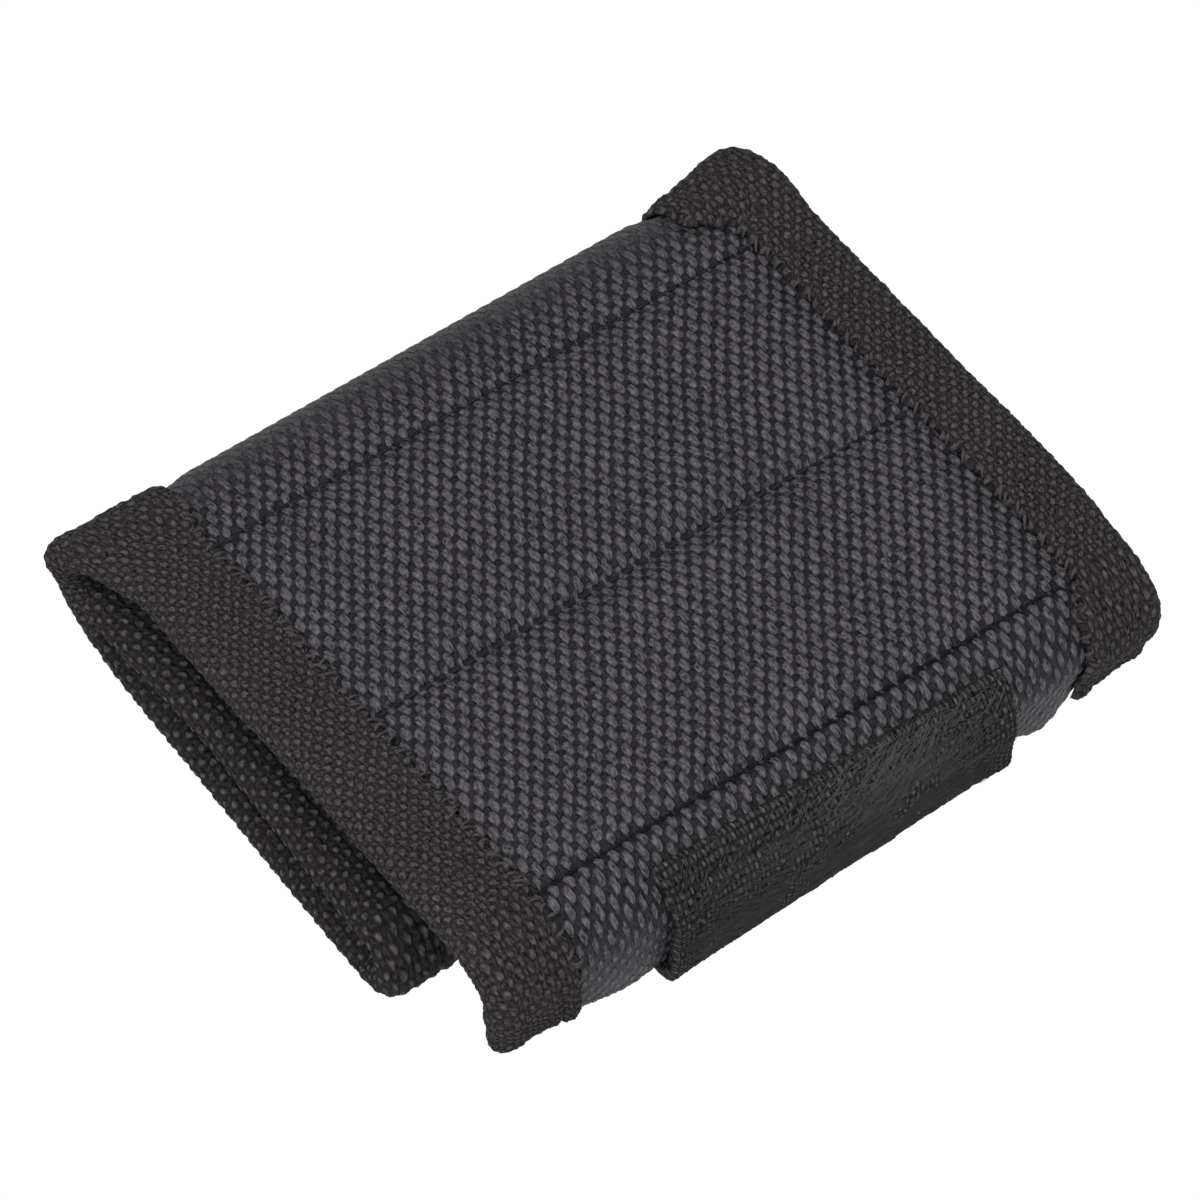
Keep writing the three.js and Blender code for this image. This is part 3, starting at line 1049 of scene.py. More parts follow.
# Copy of the binding tape with painted shade: darker gaps and yarns below, for the lower layers' tape,
# which lies in shade under the top layer.
SHADED_TAPE = Weave(
    "tape_painted_shade",
    across=1.9,
    along=2.2,
    relief=0.28,
    gap_shade=(0.016, 0.0141, 0.0147, 1),
    weft=(0.028, 0.0246, 0.0257, 1),
    warp=(0.08, 0.0704, 0.0735, 1),
    roughness=0.85,
    specular=0.15,
    fibre=3.0,
    fleck=3.0,
    weft_height=0.5,
    overlap=0.4,
    sharp=1.2,
    fill=(0.1, 0.9),
    fleck_scale=200.0,
)
WEBBING = Weave(
    "tab_webbing",
    across=1.25,
    along=1.35,
    relief=0.19,
    gap_shade=(0.018, 0.0171, 0.0165, 1),
    weft=(0.04, 0.0378, 0.0366, 1),
    warp=(0.078, 0.0735, 0.0712, 1),
    roughness=0.9,
    specular=0.12,
    fibre=3.5,
    fleck=3.5,
    weft_height=0.7,
    fleck_scale=240.0,
)
MESH_LINING = Weave(
    "lining_mesh",
    across=2.6,
    along=3.6,
    relief=0.35,
    gap_shade=(0.003, 0.003, 0.003, 1),
    weft=(0.02, 0.02, 0.021, 1),
    warp=(0.026, 0.026, 0.027, 1),
    roughness=0.85,
    specular=0.2,
    fibre=0.5,
    fleck=0.5,
    weft_height=0.9,
)


@dataclass(frozen=True)
class Solid:
    """Finish of one tone, broken by a fine grain: threads, fibres, foam and metal."""

    name: str
    colour: Colour
    roughness: float
    grain: float
    metallic: float = 0.0
    specular: float = 0.3
    depth: float = 0.00008
    detail: float = 4.0
    dark: float = 0.55

    def material(self) -> bpy.types.Material:
        """Build the finish's material.

        Returns:
            The material.
        """
        bench = Bench(self.name, self.roughness, self.specular)
        bench.shader.inputs["Metallic"].default_value = self.metallic
        node = bench.add("ShaderNodeTexNoise")
        place = bench.add("ShaderNodeTexCoord").outputs["Object"]
        bench.link(Value(bench, place), node.inputs["Vector"])
        node.inputs["Scale"].default_value = self.grain
        node.inputs["Detail"].default_value = self.detail
        noise = Value(bench, node.outputs[0])
        bench.colour(bench.mix(noise, darker(self.colour, self.dark), self.colour))
        bench.bump(noise, self.depth)
        return bench.material


SEAM_THREAD = Solid("seam_thread", (0.02, 0.018, 0.0225, 1), 0.6, 2500.0)
EDGE_THREAD = Solid("edge_thread", (0.085, 0.0765, 0.0795, 1), 0.7, 900.0)
PILE_FIBRE = Solid("pile_fibre", (0.06, 0.0577, 0.0555, 1), 0.8, 700.0)
LOOSE_FIBRE = Solid("loose_fibre", (0.1, 0.097, 0.094, 1), 0.7, 700.0)
HOOK_PLASTIC = Solid("hook_plastic", (0.02, 0.02, 0.02, 1), 0.45, 800.0)
PADDING_FOAM = Solid("padding_foam", (0.055, 0.055, 0.058, 1), 0.95, 1500.0, depth=0.0004)
NICKEL_PLATE = Solid("nickel_plate", (0.58, 0.57, 0.54, 1), 0.25, 400.0, metallic=1.0, depth=0.00001)
SHARP_ANGLE = math.radians(70)
THREAD_TIP = 0.55


def mesh_piece(
    name: str, points: np.ndarray, faces: list, material: bpy.types.Material, uv: np.ndarray | None = None
) -> bpy.types.Object:
    """Smooth-shaded mesh object.

    Args:
        name: Name of the piece.
        points: Its points, in metres.
        faces: Its faces.
        material: Its material.
        uv: Place on the cloth of each point.

    Returns:
        The piece, linked to the scene.
    """
    mesh = bpy.data.meshes.new(name)
    mesh.from_pydata(points.tolist(), [], faces)
    if uv is not None:
        layer = mesh.uv_layers.new(name="cloth")
        loops = np.zeros(len(mesh.loops), np.int32)
        mesh.loops.foreach_get("vertex_index", loops)
        layer.data.foreach_set("uv", uv[loops].astype(np.float32).ravel())
    mesh.shade_smooth()
    mesh.set_sharp_from_angle(angle=SHARP_ANGLE)
    mesh.materials.append(material)
    piece = bpy.data.objects.new(name, mesh)
    bpy.context.scene.collection.objects.link(piece)
    LOG.info("%s: %d faces", name, len(mesh.polygons))
    return piece


def settle(piece: bpy.types.Object, node: str = "", body: Body | None = None) -> None:
    """Put a piece on its body and hide the frame's node that it replaces.

    Args:
        piece: The piece.
        node: The frame's node that it replaces, if any.
        body: The body that it rides on, unless it already moves with its stretch.
    """
    if body:
        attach(piece, body.value)
    if node:
        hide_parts(node)


def spaced(low: float, high: float, spacing: float, step: int) -> np.ndarray:
    """Evenly spaced places whose number of cells is a multiple of a step."""
    cells = max(1, math.ceil((high - low) / (spacing * step))) * step
    return np.linspace(low, high, cells + 1)


def crossed(rows: np.ndarray, columns: np.ndarray) -> Places:
    """Grids of the rows' and the columns' places."""
    return tuple(np.meshgrid(rows, columns, indexing="ij"))


def band_grid(low: float, high: float, half: float, spacing: float, step: int) -> Places:
    """Grids of places along the band, between two places, and across it, over a half width each way."""
    return crossed(spaced(low, high, spacing, step), spaced(-half, half, spacing, step))


def thinned(step: int, *grids: np.ndarray) -> list[np.ndarray]:
    """Every step-th row and column of grids."""
    return [grid[::step, ::step] for grid in grids]


@dataclass
class Sheet:
    """Closed sheet of cloth with a fine face and a coarse back.

    The back has every step-th row and column of the face's grid. Rows run along the band.
    """

    face: np.ndarray
    back: np.ndarray
    places: Places
    step: int
    flip: bool = False

    @classmethod
    def on_band(
        cls,
        s: np.ndarray,
        x: np.ndarray,
        outside: np.ndarray,
        inside: np.ndarray | float,
        step: int,
        places: Places | None = None,
        flip: bool = False,
    ) -> "Sheet":
        """Lay a sheet along the band, between two offsets from its middle line.

        Args:
            s: Places along the band, on the face's grid.
            x: Places across it.
            outside: Offsets of the face.
            inside: Offsets of the back.
            step: Cells of the face beside one cell of the back.
            places: Places on the cloth, where they aren't those on the band.
            flip: Whether the face looks to the wrist.

        Returns:
            The sheet.
        """
        back = PATH.points(*thinned(step, s, x, np.broadcast_to(inside, s.shape)))
        return cls(PATH.points(s, x, outside), back, places or (x, s), step, flip)

    @classmethod
    def round_end(
        cls,
        end: float,
        angle: np.ndarray,
        x: np.ndarray,
        outside: np.ndarray,
        inside: float,
        step: int,
        places: Places,
    ) -> "Sheet":
        """Turn a sheet round an end of the band, between two radii.

        Args:
            end: Place of the end along the band.
            angle: Angles from the outer face, on the face's grid.
            x: Places across the band.
            outside: Radii of the face.
            inside: Radius of the back.
            step: Cells of the face beside one cell of the back.
            places: Places on the cloth.

        Returns:
            The sheet.
        """
        outwards = outwards_at(end)

        def ring(radius: np.ndarray | float, turn: np.ndarray, across: np.ndarray) -> np.ndarray:
            """Points at a radius round the end."""
            return PATH.points(end + outwards * radius * np.sin(turn), across, radius * np.cos(turn))

        back = ring(inside, *thinned(step, angle, x))
        return cls(ring(outside, angle, x), back, places, step, outwards < 0)

    @staticmethod
    def _quads(index: np.ndarray) -> list[list[int]]:
        """Quads of a grid of indices."""
        corners = (index[:-1, :-1], index[1:, :-1], index[1:, 1:], index[:-1, 1:])
        return np.stack([c.ravel() for c in corners], 1).tolist()

    def _rim(self, fine: np.ndarray, coarse: np.ndarray, turn: bool) -> list[list[int]]:
        """Faces that join one border of the face to the same border of the back.

        Args:
            fine: Indices along the face's border.
            coarse: Indices along the back's.
            turn: Whether the faces turn with the face's border.

        Returns:
            The faces.
        """
        faces = []
        for i in range(len(coarse) - 1):
            edge = fine[i * self.step : (i + 1) * self.step + 1].tolist()
            edge += [int(coarse[i + 1]), int(coarse[i])]
            faces.append(edge if turn else edge[::-1])
        return faces

    def piece(self, name: str, material: bpy.types.Material) -> bpy.types.Object:
        """Make the sheet.

        Args:
            name: Name of the piece.
            material: The cloth's material.

        Returns:
            The piece.
        """
        rows, columns = self.face.shape[:2]
        fine = np.arange(rows * columns).reshape(rows, columns)
        count = self.back.shape[:2]
        coarse = rows * columns + np.arange(count[0] * count[1]).reshape(count)
        faces = self._quads(fine) + [q[::-1] for q in self._quads(coarse)]
        faces += self._rim(fine[0], coarse[0], True)
        faces += self._rim(fine[-1], coarse[-1], False)
        faces += self._rim(fine[:, 0], coarse[:, 0], False)
        faces += self._rim(fine[:, -1], coarse[:, -1], True)
        if self.flip:
            faces = [f[::-1] for f in faces]
        points = np.concatenate([self.face.reshape(-1, 3), self.back.reshape(-1, 3)])
        places = np.stack(self.places, -1)
        thin = places[:: self.step, :: self.step]
        uv = np.concatenate([places.reshape(-1, 2), thin.reshape(-1, 2)]) / UV_MM
        return mesh_piece(name, points, faces, material, uv)


def outwards_at(end: float) -> int:
    """Direction along the band that leads out of one of its ends."""
    return 1 if end > 0 else -1


def thread_piece(
    name: str, runs: np.ndarray, radius: float, sides: int, material: bpy.types.Material
) -> bpy.types.Object:
    """Many short threads as closed tubes with tapered ends.

    Args:
        name: Name of the piece.
        runs: Points of each thread, in metres, as threads by points by 3.
        radius: Radius of a thread, in millimetres.
        sides: Sides of a tube.
        material: The threads' material.

    Returns:
        The piece.
    """
    count, rings = runs.shape[:2]
    along = np.gradient(runs, axis=1)
    along /= np.linalg.norm(along, axis=2, keepdims=True) + 1e-12
    plane = np.cross(runs[:, rings // 2] - runs[:, 0], runs[:, -1] - runs[:, 0])
    straight = np.linalg.norm(plane, axis=1) < 1e-12
    any_way = (0.31, 0.52, 0.79)
    plane[straight] = np.cross(along[straight, 0], any_way)
    plane /= np.linalg.norm(plane, axis=1, keepdims=True)
    first = np.broadcast_to(plane[:, None], along.shape)
    second = np.cross(along, first)
    taper = np.full(rings, radius * MM)
    taper[[0, -1]] *= THREAD_TIP
    angles = np.arange(sides) * 2 * math.pi / sides
    ring = np.cos(angles)[:, None] * first[:, :, None] + np.sin(angles)[:, None] * second[:, :, None]
    points = runs[:, :, None] + ring * taper[:, None, None]
    index = np.arange(count * rings * sides).reshape(count, rings, sides)
    ahead = np.roll(index, -1, 2)
    corners = (index[:, :-1], ahead[:, :-1], ahead[:, 1:], index[:, 1:])
    faces = np.stack([c.ravel() for c in corners], 1).tolist()
    faces += index[:, 0, ::-1].tolist() + index[:, -1].tolist()
    return mesh_piece(name, points.reshape(-1, 3), faces, material)


@dataclass(frozen=True)
class Selvedge:
    """How far from the band's middle a binding's outer selvedge runs, in millimetres."""

    usual: float
    at_fold: float
    on_top: float
    on_flap: float

    def place(self, s: np.ndarray) -> np.ndarray:
        """Distances from the middle at places along the band.

        Args:
            s: Places along the band.

        Returns:
            Distances in millimetres.
        """
        knots = (PATH.fold, PATH.fold_middle, PATH.top - 1, PATH.top + 2.5, PATH.bend, PATH.bend + 4)
        places = (self.usual, self.at_fold, self.at_fold, self.on_top, self.on_top, self.on_flap)
        return np.interp(s, knots, places)


SELVEDGES = {
    Side.LEFT: Selvedge(usual=35.0, at_fold=33.3, on_top=35.0, on_flap=34.4),
    Side.RIGHT: Selvedge(usual=35.0, at_fold=32.5, on_top=36.9, on_flap=33.8),
}


def selvedge_beside(s: np.ndarray, x: np.ndarray) -> np.ndarray:
    """Distance from the middle of the selvedge on the side that a place is on."""
    return np.where(x < 0, SELVEDGES[Side.LEFT].place(s), SELVEDGES[Side.RIGHT].place(s))


@dataclass
class Cover:
    """Outer cover of coarse basket cloth, sewn into pockets."""

    finish: Weave = BASKET
    spacing: float = 0.32
    step: int = 4
    rise: float = 4.2
    edge_rise: float = 4.5
    bound_margin: float = 1.0
    crowned: tuple[str, ...] = ("top", "inner")
    crown: float = 0.6
    wrinkle: float = 0.3
    wrinkle_size: float = 16.0
    seam_depth: float = 0.6
    seam_half: float = 0.9
    stray: float = 0.35
    fuzz: float = 0.1
    fill: float = 0.7
    material: bpy.types.Material = field(init=False)

    def __post_init__(self) -> None:
        """Make the cloth's material."""
        self.material = self.finish.material()

    def surface(self, stretch: Stretch, s: np.ndarray, x: np.ndarray) -> np.ndarray:
        """Offset of the cover's outside without its weave.

        Args:
            stretch: The stretch of the band.
            s: Places along the band, in millimetres.
            x: Places across it.

        Returns:
            Offsets from the middle line, in millimetres.
        """
        bound = np.minimum(selvedge_beside(s, x), SIZES.bound_from + self.bound_margin)
        full = stretch.fullness(s, x, self.rise, self.edge_rise, bound)
        off = SIZES.seam_gap + SIZES.lift * full + SIZES.cloth
        inside = np.clip(bound - np.abs(x), 0, 1)
        for line in stretch.lines:
            off = off - self.seam_depth * groove(s - line, self.seam_half) * inside
        if stretch.name in self.crowned:
            above = np.maximum(full - SEAM_FILL, 0) / (1 - SEAM_FILL)
            wide = np.cos(np.clip(x / SIZES.bound_from, -1, 1) * math.pi / 2)
            uneven = SLOW_CRUMPLE.at(s / self.wrinkle_size, x / self.wrinkle_size)
            off = off + above * (self.crown * wide + self.wrinkle * uneven)
        return off

    def build(self, stretch: Stretch) -> None:
        """Make the cover of one stretch, riding on the stretch's body where it has only one.

        Args:
            stretch: The stretch.
        """
        s, x = band_grid(stretch.low, stretch.high, SIZES.cloth_edge, self.spacing, self.step)
        off = self.surface(stretch, s, x)
        places = yarn_places(x, s, self.stray, self.fuzz)
        outside = off + self.finish.height(*places)
        sheet = Sheet.on_band(s, x, outside, off - SIZES.cloth, self.step, places)
        piece = sheet.piece(f"{stretch.name}_cover_cloth", self.material)
        stretch.attach(piece, (SIZES.seam_gap, SIZES.reach))
        settle(piece, f"{stretch.owner}_cover")


@dataclass
class Lining:
    """Mesh lining on the wrist side."""

    finish: Weave = MESH_LINING
    spacing: float = 0.6
    step: int = 4
    rise: float = 4.5
    material: bpy.types.Material = field(init=False)

    def __post_init__(self) -> None:
        """Make the cloth's material."""
        self.material = self.finish.material()

    def build(self, stretch: Stretch) -> None:
        """Make the lining of one stretch, riding on the stretch's body where it has only one.

        Args:
            stretch: The stretch.
        """
        edge = SIZES.cloth_edge
        s, x = band_grid(stretch.low, stretch.high, edge, self.spacing, self.step)
        bound = np.full_like(x, SIZES.bound_from)
        full = stretch.fullness(s, x, self.rise, self.rise, bound)
        off = SIZES.seam_gap + SIZES.lift * full + SIZES.cloth
        outside = -off - self.finish.height(x, s)
        sheet = Sheet.on_band(s, x, outside, SIZES.cloth - off, self.step, flip=True)
        piece = sheet.piece(f"{stretch.name}_lining_mesh", self.material)
        stretch.attach(piece, (-SIZES.reach, -SIZES.seam_gap))
        settle(piece, f"{stretch.owner}_lining")
        stretch.declare(2 * edge)


@dataclass
class Binding:
    """Woven tape folded over one long edge."""

    side: Side
    materials: dict[str, bpy.types.Material]
    finish: Weave = TAPE
    shaded_finish: Weave = SHADED_TAPE
    spacing: float = 0.32
    under_coarser: float = 1.3
    step: int = 4
    edge_round: float = 0.6
    scallop: float = 0.4
    scallop_reach: float = 0.8
    scallop_uneven: float = 0.8
    seam_inset: float = 3.0
    seam_depth: float = 0.3
    seam_half: float = 0.6
    puff: float = 0.25
    puff_reach: float = 4.0
    crumple_size: tuple[float, float] = (3.1, 4.3)
    crumple_reach: float = 1.5
    crumple_least: float = 0.3
    crumples: tuple[float, ...] = (0.15, 0.25, 0.15, 0.55, 0.22, 0.22, 0.4)
    flattened: tuple[float, float] = (0.8, 0.1)
    fine_rise: float = 0.12
    fine_size: float = 1.3
    stray: float = 0.4
    fuzz: float = 0.16

    @property
    def name(self) -> str:
        """The side's name in small letters."""
        return self.side.name.lower()

    def across(self, s: np.ndarray) -> Places:
        """Grids of places along the band and round the tape's section.

        Args:
            s: Places along the band.

        Returns:
            Places along, and places round the section, which are 0 where it leaves the outer face.
        """
        radius = SIZES.binding_reach
        half_turn = math.pi * radius
        inner = SIZES.half_width - radius - SIZES.bound_from
        outer = spaced(-1, 0, self.spacing / SIZES.binding_width, self.step)
        turn = spaced(0, half_turn, self.spacing, self.step)
        under = spaced(half_turn, half_turn + inner, self.under_coarser * self.spacing, self.step)
        s, t = crossed(s, np.concatenate([outer, turn[1:], under[1:]]))
        width = SIZES.half_width - radius - SELVEDGES[self.side].place(s)
        return s, np.where(t < 0, t * width, t)

    def section(self, t: np.ndarray, depth: np.ndarray | float) -> Places:
        """Lay the tape's section out.

        Args:
            t: Places round the section.
            depth: Depths below the tape's outside.

        Returns:
            Places across the band, without the side's sign, and offsets.
        """
        radius = SIZES.binding_reach
        turn = np.clip(t / radius, 0, math.pi)
        run = np.minimum(t, 0) - np.maximum(t - math.pi * radius, 0)
        x = SIZES.half_width - radius + run + (radius - depth) * np.sin(turn)
        return x, (radius - depth) * np.cos(turn)

    def crumple(self, s: np.ndarray) -> np.ndarray:
        """How high the tape stands in crumples along the band: most at the folds.

        Args:
            s: Places along the band.

        Returns:
            Heights in millimetres.
        """
        knots = (PATH.nose - 5, PATH.nose_middle, PATH.base + 5, PATH.fold_middle, PATH.lines[0] + 6)
        knots += (PATH.bend - 6, PATH.bend + 4)
        return np.interp(s, knots, self.crumples)

    def depth(self, s: np.ndarray, t: np.ndarray) -> np.ndarray:
        """Depth of the tape's outside below its full form: rounded selvedges, seam and crumples.

        Args:
            s: Places along the band.
            t: Places round the section.

        Returns:
            Depths in millimetres.
        """
        sign = self.side.value
        long, wide = self.crumple_size
        selvedge = np.minimum(t - t.min(1, keepdims=True), t.max() - t)
        uneven = 0.5 + 0.5 * SLOW_CRUMPLE.at(s / long, t / wide + 20 * sign)
        fine = 0.5 + 0.5 * FINE_CRUMPLE.at(s / self.fine_size, t / self.fine_size + 9 * sign)
        rise = self.puff * np.sin(np.clip(selvedge / self.puff_reach, 0, 1) * math.pi / 2)
        crumpled = self.crumple(s) * uneven * np.clip(selvedge / self.crumple_reach, self.crumple_least, 1)
        rise = rise + crumpled + self.fine_rise * fine
        turn = np.clip(t / SIZES.binding_reach, 0, math.pi)
        flattened = np.interp(s, (PATH.fold, PATH.fold_middle), self.flattened)
        rise = rise * (1 - flattened * np.sin(turn))
        seam = self.seam_depth * groove(selvedge - self.seam_inset, self.seam_half)
        return rounding(selvedge, self.edge_round) + seam - rise

    def build(self, stretch: Stretch) -> None:
        """Make the binding of one stretch, riding on the stretch's body where it has only one.

        Args:
            stretch: The stretch.
        """
        sign = self.side.value
        s, t = self.across(spaced(stretch.low, stretch.high, self.spacing, self.step))
        places = yarn_places(t, s, self.stray, self.fuzz)
        # Below the back fold the tape takes its copy with painted shade.
        finish = self.shaded_finish if stretch.high <= PATH.fold else self.finish
        x, off = self.section(t, self.depth(s, t) - finish.height(*places))
        uneven = self.scallop_uneven * FINE_CRUMPLE.at(s / 2, 0 * s + 5)
        lobes = np.cos(2 * math.pi * s / finish.along) + uneven
        x = x - self.scallop * lobes * np.exp(-(t - t.min(1, keepdims=True)) / self.scallop_reach)
        face = PATH.points(s, sign * x, off)
        s_back, t_back = thinned(self.step, s, t)
        x, off = self.section(t_back, SIZES.cloth)
        back = PATH.points(s_back, sign * x, off)
        sheet = Sheet(face, back, places, self.step, flip=self.side is Side.LEFT)
        piece = sheet.piece(f"{stretch.name}_tape_{self.name}", self.materials[finish.name])
        stretch.attach(piece, (-SIZES.binding_reach, SIZES.binding_reach))
        settle(piece, f"{stretch.owner}_binding_{self.name}")
        stretch.declare(t.max() - t.min())


@dataclass
class Stitching:
    """Seam threads: across the pockets, along the bindings, and over the bindings' selvedges."""

    cover: Cover
    pitch: float = 2.9
    stitch: float = 2.75
    rings: int = 6
    radius: float = 0.2
    sides: int = 6
    pocket_sunk: float = 0.3
    pocket_hump: float = 0.15
    tape_sunk: float = 0.4
    tape_hump: float = 0.35
    bare: tuple[str, ...] = ("nose", "spine_lower", "flap")
    loop_pitch: float = 1.2
    loop_radius: float = 0.18
    loop_sides: int = 5
    loop_out: tuple[float, ...] = (0.9, 0.45, -0.1, -0.55, -0.85)
    loop_rise: tuple[float, ...] = (-0.1, 0.2, 0.05, -0.35, -0.75)
    loop_lift: float = 0.05
    spine_bare: float = 8.0
    less_worn: float = 0.55
    thread: bpy.types.Material = field(init=False)
    edge_thread: bpy.types.Material = field(init=False)

    def __post_init__(self) -> None:
        """Make the threads' materials."""
        self.thread = SEAM_THREAD.material()
        self.edge_thread = EDGE_THREAD.material()

    def pocket_seams(self, stretch: Stretch) -> None:
        """Sew the stitch lines of a stretch that rides on one body.

        Args:
            stretch: The stretch.
        """
        starts = np.arange(-SIZES.bound_from + 1, SIZES.bound_from - self.stitch, self.pitch)
        along = np.linspace(0, 1, self.rings)
        runs = []
        for line in stretch.lines:
            x = starts[:, None] + along * self.stitch
            s = np.full_like(x, line)
            hump = self.pocket_hump * np.sin(along * math.pi)
            runs.append(PATH.points(s, x, self.cover.surface(stretch, s, x) - self.pocket_sunk + hump))
        self._sew(stretch, f"{stretch.name}_seam_thread", np.concatenate(runs))

    def _sew(self, stretch: Stretch, name: str, runs: np.ndarray) -> None:
        """Make one piece of seam threads, riding on its stretch's body where it has only one.

        Args:
            stretch: The stretch.
            name: Name of the piece.
            runs: Points of each stitch.
        """
        piece = thread_piece(name, runs, self.radius, self.sides, self.thread)
        stretch.attach(piece, (-SIZES.binding_reach, SIZES.binding_reach))
        settle(piece)

    def binding_seam(self, stretch: Stretch, binding: Binding) -> None:
        """Sew a binding to a stretch, on both faces.

        Args:
            stretch: The stretch.
            binding: The binding.
        """
        count = max(1, round((stretch.high - stretch.low) / self.pitch))
        pitch = (stretch.high - stretch.low) / count
        along = np.linspace(0, 1, self.rings)
        s = stretch.low + (np.arange(count)[:, None] + 0.1 + 0.8 * along) * pitch
        off = SIZES.binding_reach - self.tape_sunk + self.tape_hump * np.sin(along * math.pi)
        edges = {
            Face.OUTER: SELVEDGES[binding.side].place(s),
            Face.INNER: np.full_like(s, SIZES.bound_from),
        }
        runs = []
        for face, edge in edges.items():
            x = binding.side.value * (edge + binding.seam_inset)
            runs.append(PATH.points(s, x, face.value * off))
        self._sew(stretch, f"{stretch.name}_tape_seam_{binding.name}", np.concatenate(runs))

    def selvedge_loops(self, stretch: Stretch, binding: Binding) -> None:
        """Lay small curls of thread over a binding's outer selvedge, more on the worn left one.

        Args:
            stretch: The stretch.
            binding: The binding.
        """
        if stretch.name in self.bare:
            return
        low = stretch.low
        if stretch.owner == Body.SPINE.value:
            low = max(low, PATH.fold_middle + self.spine_bare)
        length = stretch.high - low
        worn = 1.0 if binding.side is Side.LEFT else self.less_worn
        count = max(2, round(length / (self.loop_pitch / worn)))
        dice = np.random.default_rng(len(stretch.name) * 7 + binding.side.value)
        at = low + (np.arange(count) + dice.uniform(0, 1, count)) * length / count
        lean = dice.normal(0.3, 0.5, count)[:, None]
        reach = dice.uniform(0.6, 1.1, count)[:, None] * worn
        inset = dice.uniform(-0.1, 0.6, count)[:, None]
        out = np.array(self.loop_out) * reach + inset
        s = np.clip(at[:, None] + lean * np.linspace(-0.5, 0.5, 5), low, stretch.high)
        x = binding.side.value * (SELVEDGES[binding.side].place(s) + out)
        off = SIZES.binding_reach + np.array(self.loop_rise) + 0 * s
        on_cover = self.cover.surface(stretch, s, x) + self.loop_lift
        runs = PATH.points(s, x, np.where(out < 0, np.maximum(off, on_cover), off))
        name = f"{stretch.name}_edge_thread_{binding.name}"
        piece = thread_piece(name, runs, self.loop_radius, self.loop_sides, self.edge_thread)
        stretch.attach(piece, (SIZES.seam_gap, SIZES.binding_reach))
        settle(piece)


@dataclass
class EndHem:
    """Cover cloth turned round an end of the band."""

    end: float
    node: str
    body: Body
    spacing: float = 0.32
    step: int = 4

    def build(self, cover: Cover) -> None:
        """Make the hem from the cover's cloth.

        Args:
            cover: The cover.
        """
        half = SIZES.bound_from - SIZES.clearance
        radius = SIZES.seam_gap + SIZES.cloth
        angles = spaced(0, math.pi, self.spacing / radius, self.step)
        angle, x = crossed(angles, spaced(-half, half, self.spacing, self.step))
        s = self.end + angle * radius * outwards_at(self.end)
        places = yarn_places(x, s, cover.stray, cover.fuzz)
        outside = radius + cover.finish.height(*places)
        sheet = Sheet.round_end(self.end, angle, x, outside, SIZES.seam_gap, self.step, places)
        settle(sheet.piece(f"{self.node}_cloth", cover.material), self.node, self.body)


@dataclass
class HookPatch:
    """Patch of moulded hooks on the inner turn, which grips the closing tab."""

    spacing: float = 0.8
    step: int = 2
    thickness: float = 0.5
    sunk: float = 0.2
    edge_round: float = 0.3
    rim: float = 2.0
    rim_half: float = 0.5
    rim_depth: float = 0.12
    pitch: float = 1.25
    margins: tuple[float, float] = (2.6, 2.4)
    hook: float = 1.0
    hook_radius: float = 0.13
    hook_sides: int = 5
    hook_lean: tuple[float, ...] = (0.0, 0.02, 0.12, 0.35, 0.5)
    hook_rise: tuple[float, ...] = (-0.05, 0.45, 0.62, 0.68, 0.5)

    def build(self) -> None:
        """Make the patch's base and its hooks."""
        middle = SIZES.inner_length / 4
        foot = SIZES.reach + SIZES.clearance
        long = SIZES.patch_length / 2
        wide = SIZES.patch_width / 2
        s, x = band_grid(middle - long, middle + long, wide, self.spacing, self.step)
        edge = np.minimum(long - np.abs(s - middle), wide - np.abs(x))
        top = foot + self.thickness - rounding(edge, self.edge_round)
        top = top - self.rim_depth * groove(edge - self.rim, self.rim_half)
        material = HOOK_PLASTIC.material()
        base = Sheet.on_band(s, x, top, foot - self.sunk, self.step).piece("hook_patch_base", material)
        settle(base, "hook_patch", Body.INNER_TURN)
        first, last = self.margins
        s, x = crossed(
            np.arange(middle - long + first, middle + long - last, self.pitch),
            np.arange(-wide + first, wide - last, self.pitch),
        )
        s = s.ravel()[:, None] + np.array(self.hook_lean)
        off = foot + self.thickness + np.array(self.hook_rise) * self.hook
        runs = PATH.points(s, x.ravel()[:, None], off)
        hooks = thread_piece("hook_patch_hooks", runs, self.hook_radius, self.hook_sides, material)
        settle(hooks, body=Body.INNER_TURN)


